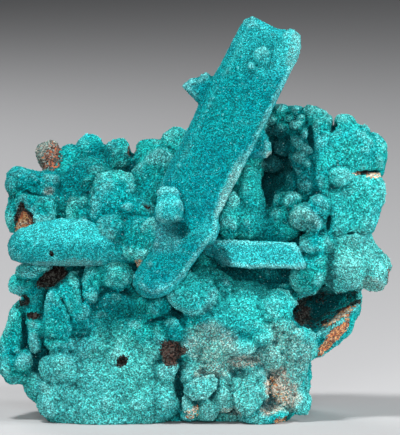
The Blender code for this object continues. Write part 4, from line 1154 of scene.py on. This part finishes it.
# Crystals with sharp corners: the leaf at the far left, the wedge at the lower right
CRYSTALS = [
    [
        (-36.4, 23.0, -9.4), (-35.2, 18.6, -10.8), (-36.2, 13.6, -11.8), (-39.4, 14.0, -10.4),
        (-39.9, 16.0, -9.6), (-37.6, 20.6, -9.8), (-36.4, 22.4, -6.0), (-35.4, 14.0, -6.0),
        (-39.4, 15.0, -6.0),
    ],
    [
        (8.4, 7.8, -16.6), (11.2, 8.0, -16.4), (12.8, 4.6, -16.4), (12.3, 3.2, -16.8),
        (9.4, 0.8, -17.2), (7.6, 2.0, -17.0), (6.7, 5.0, -16.8), (8.2, 7.2, -12.0),
        (11.4, 7.4, -12.0), (12.4, 4.0, -12.0), (9.6, 1.2, -12.0), (7.2, 3.0, -12.0),
    ],
]

# Where the rock shows through, in the same form, with how bare it is and its tone: near 0 is a black
# or dark brown hole, 0.5 rust, and 1 yellow or cream
BARE_PATCHES = [
    ((-29.6, 52.2, 0.0), (1.9, 3.2, 4.0), 0, 0.66, 0.38),
    ((-34.5, 39.0, -6.0), (2.8, 1.2, 5.0), 8, 1.0, 0.68),
    ((-34.8, 40.4, -6.0), (2.1, 1.4, 5.0), 0, 1.0, 0.66),
    ((-35.2, 41.8, -6.0), (1.3, 1.4, 5.0), 0, 1.0, 0.60),
    ((-36.2, 41.6, -6.0), (0.5, 2.4, 5.0), -20, 1.0, 0.1),
    ((-33.5, 41.2, -6.0), (0.45, 2.4, 5.0), 34, 1.0, 0.1),
    ((-35.4, 43.2, -6.0), (0.8, 0.7, 5.0), 0, 1.0, 0.15),
    ((-13.4, 54.2, -2.0), (0.9, 1.4, 3.0), 0, 0.9, 0.4),
    ((-10.4, 42.4, -14.0), (0.8, 0.6, 2.6), 0, 0.9, 0.1),
    ((-12.0, 31.4, -15.0), (1.5, 1.2, 3.0), 0, 0.7, 0.75),
    ((-29.6, 28.8, -9.0), (3.2, 2.0, 8.0), 20, 1.0, 0.06),
    ((-35.2, 23.8, -10.0), (1.4, 1.3, 4.0), 0, 1.0, 0.1),
    ((-33.0, 20.9, -11.0), (1.2, 0.8, 3.0), 0, 1.0, 0.1),
    ((-15.8, 11.8, -16.0), (1.3, 1.1, 3.0), -20, 1.0, 0.04),
    ((-6.0, 13.4, -15.0), (2.1, 2.4, 3.4), 0, 1.0, 0.22),
    ((-3.6, 14.0, -15.0), (1.2, 0.9, 3.0), 0, 1.0, 0.2),
    ((24.0, 22.4, -9.0), (6.2, 3.4, 8.0), 10, 0.85, 0.04),
    ((30.0, 24.2, -8.0), (3.2, 1.6, 7.0), 20, 0.85, 0.05),
    ((26.3, 16.5, -8.0), (1.2, 4.6, 5.0), -38, 1.0, 0.58),
    ((28.0, 21.0, -8.0), (3.6, 0.45, 3.0), 34, 0.7, 0.85),
    ((16.0, 0.2, -13.0), (2.4, 1.1, 3.0), 0, 0.9, 0.7),
    ((-1.6, 1.6, -15.0), (1.4, 1.6, 3.0), 0, 0.5, 0.92),
    ((15.4, 6.4, -12.0), (1.6, 3.4, 3.4), 20, 0.46, 1.0),
    ((31.0, 49.6, -8.0), (1.3, 0.55, 3.4), 0, 0.75, 0.9),
    ((34.6, 49.2, -8.0), (1.6, 0.5, 3.4), -8, 0.75, 0.9),
    ((32.8, 49.8, -8.0), (0.9, 0.5, 3.0), 0, 1.0, 0.02),
    ((37.4, 29.4, -6.0), (0.8, 2.6, 4.0), 0, 0.7, 0.34),
    ((20.2, 40.6, -11.0), (0.5, 0.5, 2.0), 0, 0.9, 0.5),
]
# Where grey and pink dust lies on the crust, in the same form, with how dusty it is
DUSTY_PLACES = [
    ((-18.0, 7.0, -14.0), (17.0, 10.0, 9.0), 0, 0.09),
    ((5.0, 7.0, -14.0), (10.0, 8.0, 8.0), 0, 0.14),
    ((31.6, 31.0, -9.0), (8.0, 7.0, 8.0), 0, 0.12),
    ((34.0, 26.4, -9.0), (3.6, 2.6, 6.0), 0, 0.3),
    ((-31.2, 53.6, 0.0), (2.6, 3.4, 4.0), 0, 0.9),
    ((-30.2, 45.8, -9.0), (1.2, 0.8, 2.0), 0, 0.45),
    ((2.4, 15.0, -14.0), (6.2, 4.4, 5.0), 0, 0.3),
    ((9.0, 12.6, -14.0), (5.0, 2.4, 4.0), 0, 0.25),
    ((8.6, 12.0, -15.0), (2.8, 1.4, 3.0), 0, 0.6),
    ((5.4, 15.6, -15.0), (2.2, 1.6, 3.0), 0, 0.35),
    ((0.2, 9.8, -14.0), (1.4, 0.9, 3.0), 0, 0.5),
    ((3.2, 10.4, -14.0), (4.0, 2.0, 4.0), 0, 0.4),
    ((16.2, 6.4, -12.0), (3.4, 4.8, 4.8), 20, 0.85),
    ((13.4, 2.6, -13.0), (3.0, 1.6, 4.0), 30, 0.8),
    ((16.0, 13.0, -13.0), (6.8, 6.4, 5.0), 0, 0.26),
    ((20.6, 40.0, -12.0), (2.8, 2.8, 4.0), 0, 0.14),
    ((30.0, 31.0, -11.0), (5.0, 6.0, 4.0), 0, 0.08),
    ((6.4, 1.6, -14.0), (2.6, 1.2, 3.0), 0, 0.5),
]
# Where the crust is paler, in the same form: partly more frosted grains, partly painted light on
# faces that the light catches
PALE_PLACES = [
    ((-18.0, 5.6, -14.0), (17.0, 8.2, 9.0), 0, 0.57),
    ((18.0, 13.0, -13.0), (7.0, 7.0, 6.0), 0, 0.55),
    ((8.3, 15.2, -16.0), (2.6, 1.5, 3.0), 0, 0.9),
    ((12.4, 16.9, -16.0), (2.2, 1.5, 3.0), 0, 0.9),
    ((5.0, 6.4, -15.0), (9.5, 6.5, 6.0), 0, 0.6),
    ((4.4, 15.4, -14.0), (8.6, 4.6, 5.0), 0, 0.15),
    ((17.0, 5.8, -13.0), (4.6, 4.8, 5.0), 0, 0.85),
    ((19.9, 4.4, -11.0), (2.0, 2.6, 4.0), 0, 0.95),
    ((31.0, 31.0, -9.0), (8.4, 8.6, 8.0), 0, 0.45),
    ((34.0, 32.4, -9.0), (3.2, 3.8, 5.0), 0, 0.85),
    ((30.0, 40.0, -11.0), (3.6, 2.4, 4.0), 0, 0.7),
    ((3.0, 10.2, -14.0), (4.4, 2.4, 4.0), 0, 0.8),
    ((-6.0, 7.0, -14.0), (3.0, 2.4, 4.0), 0, 0.7),
    ((27.6, 48.8, -12.0), (2.6, 2.6, 2.8), 0, 0.6),
    ((-18.0, 16.2, -14.0), (3.8, 3.0, 4.0), 0, 0.35),
    ((30.6, 43.8, -10.0), (6.6, 7.4, 5.0), 0, 0.45),
    ((29.0, 54.0, -8.0), (6.0, 5.4, 5.0), 0, 0.35),
    ((9.0, 44.0, -11.0), (7.0, 8.0, 6.0), 0, 0.2),
    ((10.0, 23.0, -14.0), (9.0, 5.6, 6.0), 0, 0.6),
    ((-3.0, 26.0, -16.0), (6.0, 4.6, 4.0), 0, 0.45),
    ((-27.0, 22.0, -14.0), (7.0, 7.0, 5.0), 0, 0.06),
]
# Painted shade, in the same form: where the crust is darkened as if in shade, such as in the cave,
# under the crystals and on the upper left
PAINTED_SHADE_PLACES = [
    ((-33.0, 46.0, -6.0), (6.4, 5.6, 7.0), 0, 0.34),
    ((-31.0, 53.4, 0.0), (3.0, 4.0, 5.0), 0, 0.45),
    ((-24.0, 46.0, -6.0), (6.0, 6.0, 6.0), 0, 0.46),
    ((-19.0, 50.0, -4.0), (6.0, 5.6, 6.0), 0, 0.44),
    ((-10.0, 48.0, -7.0), (4.6, 7.6, 6.0), -20, 0.28),
    ((-12.6, 37.0, -13.0), (5.6, 3.6, 5.0), 0, 0.28),
    ((-8.4, 35.6, -18.0), (3.4, 3.8, 5.0), 0, 0.32),
    ((-17.6, 38.8, -15.0), (3.4, 2.8, 4.0), 0, 0.3),
    ((17.4, 41.4, -11.0), (2.6, 2.4, 4.0), 0, 0.3),
    ((23.8, 43.2, -11.0), (2.2, 2.2, 3.0), 0, 0.3),
    ((20.4, 40.6, -13.4), (3.0, 3.0, 3.4), 0, 0.28),
    ((20.6, 48.0, -8.0), (2.4, 4.0, 4.0), 0, 0.45),
    ((19.4, 53.6, -8.0), (2.6, 5.6, 4.6), 0, 0.5),
    ((22.2, 53.6, -9.0), (0.9, 4.6, 4.0), 0, 0.5),
    ((25.9, 31.6, -10.0), (1.6, 5.2, 5.0), 6, 0.6),
    ((-20.4, 14.0, -14.0), (4.4, 2.6, 4.0), 0, 0.3),
    ((15.4, 53.4, -3.0), (3.4, 6.4, 4.6), 0, 0.85),
    ((18.2, 46.6, -5.0), (2.0, 3.2, 3.6), 0, 0.5),
    ((15.4, 43.6, -9.0), (2.6, 2.6, 4.0), 0, 0.3),
    ((13.4, 38.0, -8.0), (4.0, 3.0, 4.0), 0, 0.25),
    ((-6.2, 21.6, -13.0), (4.6, 2.6, 4.0), 20, 0.2),
    ((-25.6, 22.0, -16.0), (4.6, 5.4, 4.0), 0, 0.14),
    ((1.6, 29.0, -13.0), (5.0, 2.4, 4.0), -20, 0.4),
    ((-16.2, 22.6, -13.6), (6.8, 4.0, 4.6), 0, 0.5),
    ((20.4, 30.0, -13.0), (1.6, 3.6, 3.0), 0, 0.25),
]
# Where the crust has grown in knobs, in the same form: the rim, the ridge, the fine wall under the
# right crystal and the glittering patch of the lower wall
KNOBBLY_PLACES = [
    ((18.5, 59.0, -4.0), (7.0, 4.0, 6.0), 0, 1.0),
    ((20.0, 53.0, -7.0), (2.6, 7.0, 4.0), 0, 1.0),
    ((33.0, 54.0, -7.0), (3.6, 6.0, 5.0), 0, 0.9),
    ((12.0, 22.0, -13.0), (8.0, 5.0, 5.0), 0, 0.8),
    ((-17.6, 16.6, -14.0), (4.4, 3.4, 4.0), 0, 1.0),
    ((-9.4, 35.4, -16.0), (4.0, 4.6, 4.0), 0, 1.0),
    ((17.0, 8.0, -13.0), (5.0, 6.0, 5.0), 0, 0.6),
    ((-18.0, 52.0, -1.0), (12.0, 4.0, 5.0), 0, 0.5),
    ((-20.4, 45.6, -8.0), (4.0, 3.0, 4.0), 0, 0.5),
]
# Where it has grown smooth, in the same form
SMOOTH_PLACES = [
    ((-37.6, 17.4, -10.0), (2.8, 5.6, 4.0), -19, 1.0),
    ((-25.6, 25.0, -14.0), (2.4, 4.6, 3.0), 6, 0.9),
    ((-17.2, 43.2, -10.0), (4.6, 6.0, 4.0), -5, 0.7),
    ((27.4, 54.4, -9.0), (4.0, 4.6, 4.0), 0, 0.9),
    ((9.8, 46.4, -11.0), (3.2, 4.2, 4.0), 0, 0.9),
    ((5.8, 40.6, -12.0), (2.8, 4.2, 4.0), 0, 0.9),
    ((-2.0, 25.4, -16.0), (4.6, 3.8, 4.0), 10, 1.0),
    ((9.8, 4.4, -16.0), (3.2, 4.2, 3.0), 0, 0.9),
    ((0.4, 6.2, -16.0), (3.8, 3.0, 3.0), 0, 0.9),
    ((-16.0, 4.0, -14.0), (10.0, 5.0, 6.0), 0, 0.6),
    ((30.8, 43.4, -11.0), (4.8, 5.2, 4.0), 0, 0.6),
    ((30.4, 30.6, -12.0), (5.4, 6.4, 5.0), 0, 0.6),
    ((-16.6, 23.8, -14.0), (4.6, 2.8, 3.0), 0, 0.9),
]
ROUND_PLATE = [((-17.2, 43.2, -8.8), (4.9, 6.4, 3.4), -5)]  # at the upper left
# The lip of the ledge under the long crystal, as part of a ring, marked as rim: frosted, with a painted
# highlight
LIP_MIDDLE = (-2.2, 25.4)
LIP_RADII = (4.5, 3.7)
LIP_DEPTH = -15.6
LIP_TURNS = range(-130, 20, 22)
# the chipped edge is marked as rim: frosted, with a painted highlight
CHIPPED_RIM = (19.8, 4.4, -11.0)  # the frosted edge at the lower right
BROKEN_FROM, BROKEN_FULLY = 6.0, 13.0  # depths between which the crust gives way to broken rock
BROKEN_TONE, BROKEN_SWING = 0.45, 0.3
KNOBBLY_ANYWHERE = 0.25
DOME_CANDIDATES = 60_000
DOME_LEAST, DOME_MOST = 0.36, 0.62  # on the plain crust
DOMES_ANYWHERE = 0.3  # the share of the domes that stand where the crust isn't knobbly
BARE_LIMITS = 0.2, 0.7  # rock that is barer than between these bears no dome
MOSTLY_SMALL = 1.6  # 1 would make domes of all sizes as common
KNOB_MOST = 1.05  # in the knobbly places
GROWN_SHUT = 0.57  # a gap closes where this share of its surroundings is solid
GAP_REACH = 3.2
GAP_STEEPNESS = 6.0

rock = Growth(low=(-42.5, -20.5, -1.5), high=(40.5, 22.5, 64.5), step=ROCK_STEP, seed=11, wander=0.5)
for core in CORES:
    rock.block([place(*corner) for corner in core], fillet=1.2)
for forms, power, fillet in ((LUMPS, 2.0, 0.7), (PLATES, PLATE_POWER, 0.45), (ROUND_PLATE, 2.7, 0.5)):
    for centre, radii, roll in forms:
        rock.lump(place(*centre), radii, roll, power, fillet)
# narrow gaps between the forms have grown shut
rock.depths = join(rock.depths, (GROWN_SHUT - rock.filled(GAP_REACH)) * GAP_STEEPNESS, 0.4)
for corners in CRYSTALS:
    rock.block([place(*corner) for corner in corners], fillet=0.2)
for centre, radii, roll in SMALL_FORMS:
    rock.lump(place(*centre), radii, roll, fillet=0.25)
for centre, radii, roll in HOLLOWS:
    rock.hollow(place(*centre), radii, roll)
for centre, radii, roll in FORMS_IN_HOLLOWS:
    rock.lump(place(*centre), radii, roll, fillet=0.2)
# the rims take the edge colour: frost, and a painted highlight on the edges that stand out
rock.note_rims(reach=1.6, least=0.22, most=0.40)
chipped = rock.ripple(1.6)
rock.mark("rim", place(*CHIPPED_RIM), (2.0, 2.6, 4.0), roll=0, strength=1.0, ragged=chipped)
for turn in np.radians(LIP_TURNS):
    across = LIP_MIDDLE[0] + LIP_RADII[0] * math.cos(turn)
    up = LIP_MIDDLE[1] + LIP_RADII[1] * math.sin(turn)
    spot = place(across, up, LIP_DEPTH)
    rock.mark("rim", spot, (1.0, 0.8, 3.0), roll=0, strength=0.9, ragged=rock.ripple(0.6))

# Bare rock, in patches at the front and all over the back, and the other looks
ragged = rock.ripples((1.6, 0.6), (0.8, 0.4))
tones = rock.looks["tone"]
for centre, radii, roll, strength, tone in BARE_PATCHES:
    window, inside = rock.mark("bare", place(*centre), radii, roll, strength, ragged)
    tones[window] += (tone - tones[window]) * (inside > 0.05)
broken = ease(BROKEN_FROM, BROKEN_FULLY, rock.axes[1][None, :, None])
broken = broken * ease(-0.15, 0.25, rock.ripple(9.0) + ragged * 0.4)
broken_tone = BROKEN_TONE + BROKEN_SWING * rock.ripple(6.0)
rock.looks["tone"] = np.where(broken > rock.looks["bare"], broken_tone, tones)
rock.looks["bare"] = np.maximum(rock.looks["bare"], broken)
rock.looks["knobbly"] = np.full(rock.shape, KNOBBLY_ANYWHERE, np.float32)
rock.looks["smooth"] = np.zeros(rock.shape, np.float32)
for look, places in (
    ("dust", DUSTY_PLACES), ("pale", PALE_PLACES), ("dark", PAINTED_SHADE_PLACES), ("knobbly", KNOBBLY_PLACES),
    ("smooth", SMOOTH_PLACES),
):
    for centre, radii, roll, strength in places:
        rock.mark(look, place(*centre), radii, roll, strength, ragged)

# The crust's own swelling, first broad and then in small domes, which are fewer on bare rock
rock.depths += rock.ripples((3.0, 0.38), (1.8, 0.2))
spots, _ = rock.skin()
spots = spots[rock.random.random(len(spots)) < DOME_CANDIDATES / len(spots)]
spots = spots[rock.at(rock.looks["bare"], spots) < rock.random.uniform(*BARE_LIMITS, len(spots))]
knobs = rock.at(rock.looks["knobbly"], spots)
smooth = rock.at(rock.looks["smooth"], spots)
kept = rock.random.random(len(spots)) < (DOMES_ANYWHERE + knobs) * (1.0 - smooth)
spots, knobs = spots[kept], knobs[kept]
most = DOME_MOST + (KNOB_MOST - DOME_MOST) * ease(0.3, 1.0, knobs)
sizes = DOME_LEAST + (most - DOME_LEAST) * rock.random.random(len(spots)) ** MOSTLY_SMALL
rock.sprinkle(spots, sizes, spacing=0.55, sunk=0.58, fillet=0.14)
rock.depths += rock.ripples((1.3, 0.10), (0.7, 0.07))
crags = np.abs(rock.ripple(2.6)) * 0.8 + np.abs(rock.ripple(1.2)) * 0.4 - 0.45
rock.depths += crags * rock.looks["bare"]

# The seats of the blades, which the blades fill, and the flat foot
SEAT_OVERLAP = 0.35
for crystal in (blade, left, right):
    low, high = crystal.low, np.array([axis[-1] for axis in crystal.axes])
    ends = np.array([place(across, up, deep) for across, deep, up in itertools.product(*zip(low, high))])
    low, high = ends.min(axis=0), ends.max(axis=0)
    window = rock.window((low + high) / 2, (high - low) / 2)
    x, y, z = np.broadcast_arrays(*rock.points(window))
    up = z * math.cos(LOOK_DOWN) - (FOOT_DEPTH - y) * math.sin(LOOK_DOWN) + FOOT_UP
    there = np.stack([x.ravel(), y.ravel(), up.ravel()], axis=1)
    seat = crystal.at(crystal.depths, there).reshape(x.shape) + SEAT_OVERLAP
    rock.depths[window] = np.maximum(rock.depths[window], -seat)
rock.depths = np.maximum(rock.depths, -rock.axes[2][None, None, :])
crust = skinned(rock, "rock_with_crust", 185_000, to_true=lambda spots: spots, front_depth=4.0)
CRUST_COLOURS = (0.001, 0.33, 0.355), (0.012, 0.41, 0.385), (0.05, 0.60, 0.585)
crust_finish = druse_finish(
    "rosasite_druse", CRUST_COLOURS, contrast=0.62, beads=0.7, relief=1.0, solid=0.0
)
crust_grain_finish = druse_finish(
    "rosasite_grains", CRUST_COLOURS, contrast=0.68, beads=0.3, relief=0.2, solid=1.0
)
fit_piece(crust, crust_finish, "matrix")

# The grains of the druse. Tiny pointed crystals of rosasite that stand on every coated surface, each
# tilted its own way, thickest at the front. A surface's grains are one joined mesh, or one for each
# level of the rock.
GRAIN_WIDTH, GRAIN_HEIGHT = 0.75, 0.9  # shares of their spacing
GRAIN_TILT = 0.38
ROOT_SHARE = 0.3  # how much of a grain stands in the surface
SMALLEST, LARGEST = (0.6, 0.6, 0.5), (1.25, 1.25, 1.5)
CROWDING = 1.15  # for each square of the spacing, before the grains that are too near are left out
SHADE_SEED, PICK_SEED, SIZE_SEED = 9, 10, 3

grain_tree = bpy.data.node_groups.new("druse grains", "GeometryNodeTree")
for label, kind in (
    ("Geometry", "NodeSocketGeometry"), ("Spacing", VALUE), ("Most per area", VALUE),
    ("Grain width", VALUE), ("Grain height", VALUE), ("Tilt", VALUE), ("Lowest", VALUE),
    ("Highest", VALUE), ("Seed", "NodeSocketInt"), ("Finish", "NodeSocketMaterial"),
):
    grain_tree.interface.new_socket(label, in_out="INPUT", socket_type=kind)
grain_tree.interface.new_socket("Geometry", in_out="OUTPUT", socket_type="NodeSocketGeometry")
given = grain_tree.nodes.new("NodeGroupInput").outputs
result = grain_tree.nodes.new("NodeGroupOutput").inputs
grow = Recipe(grain_tree)
# where they stand
here = grow.node("GeometryNodeInputPosition").outputs[0]
level = grow.node("ShaderNodeSeparateXYZ", {"Vector": here}).outputs["Z"]
above = grow.node("FunctionNodeCompare", {"A": level, "B": given["Lowest"]}, operation="GREATER_EQUAL")
below = grow.node("FunctionNodeCompare", {"A": level, "B": given["Highest"]}, operation="LESS_THAN")
banded = grow.node("FunctionNodeBooleanMath", {0: above.outputs[0], 1: below.outputs[0]})
thickness = grow.node("GeometryNodeInputNamedAttribute", {"Name": "grow"}, data_type="FLOAT")
sowing = {
    "Mesh": given["Geometry"], "Selection": banded.outputs[0], "Distance Min": given["Spacing"],
    "Density Max": given["Most per area"], "Density Factor": thickness.outputs[0], "Seed": given["Seed"],
}
sown = grow.node("GeometryNodeDistributePointsOnFaces", sowing, distribute_method="POISSON")
# a three-sided grain, rooted in the surface
shape = {"Vertices": 3, "Radius Bottom": given["Grain width"], "Depth": given["Grain height"]}
grain = grow.node("GeometryNodeMeshCone", shape, fill_type="NGON")
down = grow.node("ShaderNodeCombineXYZ", {"Z": grow.times(given["Grain height"], -ROOT_SHARE)})
rooting = {"Geometry": grain.outputs["Mesh"], "Translation": down.outputs[0]}
rooted = grow.node("GeometryNodeTransform", rooting)
# each with its own tilt, turn and size
tilt_back = grow.times(given["Tilt"], -1.0)
least = grow.node("ShaderNodeCombineXYZ", {"X": tilt_back, "Y": tilt_back})
most = grow.node("ShaderNodeCombineXYZ", {"X": given["Tilt"], "Y": given["Tilt"], "Z": math.tau})
leaning = {0: least.outputs[0], 1: most.outputs[0], "Seed": given["Seed"]}
lean = grow.node("FunctionNodeRandomValue", leaning, data_type="FLOAT_VECTOR")
lean = grow.node("FunctionNodeEulerToRotation", {0: lean.outputs[0]})
turning = {0: sown.outputs["Rotation"], 1: lean.outputs[0]}
turned = grow.node("FunctionNodeRotateRotation", turning, rotation_space="LOCAL")
sizing = {0: SMALLEST, 1: LARGEST, "Seed": SIZE_SEED}
sized = grow.node("FunctionNodeRandomValue", sizing, data_type="FLOAT_VECTOR")
planting = {
    "Points": sown.outputs["Points"], "Instance": rooted.outputs[0], "Rotation": turned.outputs[0],
    "Scale": sized.outputs[0],
}
planted = grow.node("GeometryNodeInstanceOnPoints", planting).outputs[0]
# and its own shade
for label, seed in (("shade", SHADE_SEED), ("pick", PICK_SEED)):
    chance = grow.node("FunctionNodeRandomValue", {2: 0.0, 3: 1.0, "Seed": seed}, data_type="FLOAT")
    storing = {"Geometry": planted, "Name": label, "Value": chance.outputs[1]}
    planted = grow.node(
        "GeometryNodeStoreNamedAttribute", storing, data_type="FLOAT", domain="INSTANCE"
    ).outputs[0]
realised = grow.node("GeometryNodeRealizeInstances", {"Geometry": planted}).outputs[0]
flat = grow.node("GeometryNodeSetShadeSmooth", {"Geometry": realised, "Shade Smooth": False}).outputs[0]
dressed = grow.node("GeometryNodeSetMaterial", {"Geometry": flat, "Material": given["Finish"]}).outputs[0]
grain_tree.links.new(dressed, result[0])


def druse_on(piece, name, finish, slot, lowest, highest, spacing, seed):
    """The grains that stand on a piece between two heights in mm, spaced by about that many mm."""
    made = bpy.data.objects.new(name, piece.data)
    bpy.context.scene.collection.objects.link(made)
    growing = made.modifiers.new("grains", "NODES")
    growing.node_group = grain_tree
    listed = grain_tree.interface.items_tree
    sockets = {item.name: item.identifier for item in listed if item.in_out == "INPUT"}
    for label, value in (
        ("Spacing", spacing * MM), ("Most per area", CROWDING / (spacing * MM) ** 2),
        ("Grain width", spacing * GRAIN_WIDTH * MM), ("Grain height", spacing * GRAIN_HEIGHT * MM),
        ("Tilt", GRAIN_TILT), ("Lowest", lowest * MM), ("Highest", highest * MM), ("Seed", seed),
        ("Finish", finish),
    ):
        growing[sockets[label]] = value
    graph = bpy.context.evaluated_depsgraph_get()
    mesh = bpy.data.meshes.new_from_object(made.evaluated_get(graph))
    made.modifiers.clear()
    made.data = mesh
    fit_piece(made, finish, None)


BLADE_SPACING, ROCK_SPACING = ((0.18, 0.215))
WHOLE_HEIGHT = (-10, 90)
ROCK_LEVELS = (0.3, 16), (16, 32), (32, 48), (48, 90)
crystals = {"long_crystal": long_crystal, "left_crystal": left_crystal, "right_crystal": right_crystal}
for seed, (name, crystal) in enumerate(crystals.items(), start=1):
    name = f"grains_on_{name}"
    druse_on(crystal, name, blade_grain_finish, "coated_azurite", *WHOLE_HEIGHT, BLADE_SPACING, seed)
for number, (low, high) in enumerate(ROCK_LEVELS, start=1):
    name = f"grains_on_rock_{number}"
    druse_on(crust, name, crust_grain_finish, "rosasite_crust", low, high, ROCK_SPACING, 3 + number)

# The stage. A wide floor of pale matt paper under the specimen, five soft studio lamps, faint light
# from all round, and the camera at the photograph's angle.
FLOOR_COLOUR = (0.44, 0.44, 0.45, 1.0)
FLOOR_REACH = 8.0
# Lamps as name, where, size, power and colour. They all point at the middle of the specimen
LAMPS = [
    ("key", (-0.20, -0.22, 0.61), 0.10, 3.95, (1.0, 1.0, 0.99)),
    ("upper right", (0.46, -0.27, 0.41), 0.10, 1.75, (1.0, 1.0, 1.0)),
    ("right", (0.62, -0.05, 0.24), 0.12, 2.6, (0.98, 0.99, 1.0)),
    ("front", (0.0, -0.64, 0.17), 0.14, 2.0, (1.0, 1.0, 1.0)),
    ("behind", (-0.30, 0.60, 0.40), 0.30, 2.4, (1.0, 1.0, 1.0)),
]
LAMPS_AIM = (0.0, 0.0, 0.035)
ROUND_LIGHT = (0.9, 0.95, 1.0, 1.0)
ROUND_LIGHT_STRENGTH = 0.045
CAMERA_FAR = 2.5
SHOWN_HALF = 0.0435  # half of the width that the picture shows at the specimen
PICTURE_MIDDLE = (0.0, 40.5, 0.0)

mesh = bpy.data.meshes.new("floor")
ends = [(x * FLOOR_REACH, y * FLOOR_REACH, 0.0) for x, y in ((-1, -1), (1, -1), (1, 1), (-1, 1))]
mesh.from_pydata(ends, [], [(0, 1, 2, 3)])
floor = bpy.data.objects.new("floor", mesh)
bpy.context.scene.collection.objects.link(floor)
paper = bpy.data.materials.new("pale_paper")
paper.use_nodes = True
shader = paper.node_tree.nodes["Principled BSDF"]
shader.inputs["Base Color"].default_value = FLOOR_COLOUR
shader.inputs["Roughness"].default_value = 0.9
mesh.materials.append(paper)

for name, where, size, power, colour in LAMPS:
    light = bpy.data.lights.new(name, "AREA")
    light.shape = "RECTANGLE"
    light.size = size
    light.size_y = size
    light.energy = power
    light.color = colour
    lamp = bpy.data.objects.new(name, light)
    bpy.context.scene.collection.objects.link(lamp)
    lamp.location = where
    lamp.rotation_euler = (Vector(where) - Vector(LAMPS_AIM)).to_track_quat("Z", "Y").to_euler()
world = bpy.data.worlds.new("studio")
world.use_nodes = True
background = world.node_tree.nodes["Background"]
background.inputs["Color"].default_value = ROUND_LIGHT
background.inputs["Strength"].default_value = ROUND_LIGHT_STRENGTH
bpy.context.scene.world = world
bpy.context.scene.view_settings.view_transform = "Standard"

camera = bpy.data.objects.new("camera", bpy.data.cameras.new("camera"))
bpy.context.scene.collection.objects.link(camera)
bpy.context.scene.camera = camera
toward = Vector((0.0, -math.cos(LOOK_DOWN), math.sin(LOOK_DOWN)))
camera.location = Vector(place(*PICTURE_MIDDLE)) * MM + toward * CAMERA_FAR
camera.rotation_euler = toward.to_track_quat("Z", "Y").to_euler()
camera.data.lens_unit = "FOV"
camera.data.angle = 2 * math.atan(SHOWN_HALF / CAMERA_FAR)
camera.data.clip_start = 0.01
camera.data.clip_end = 20.0
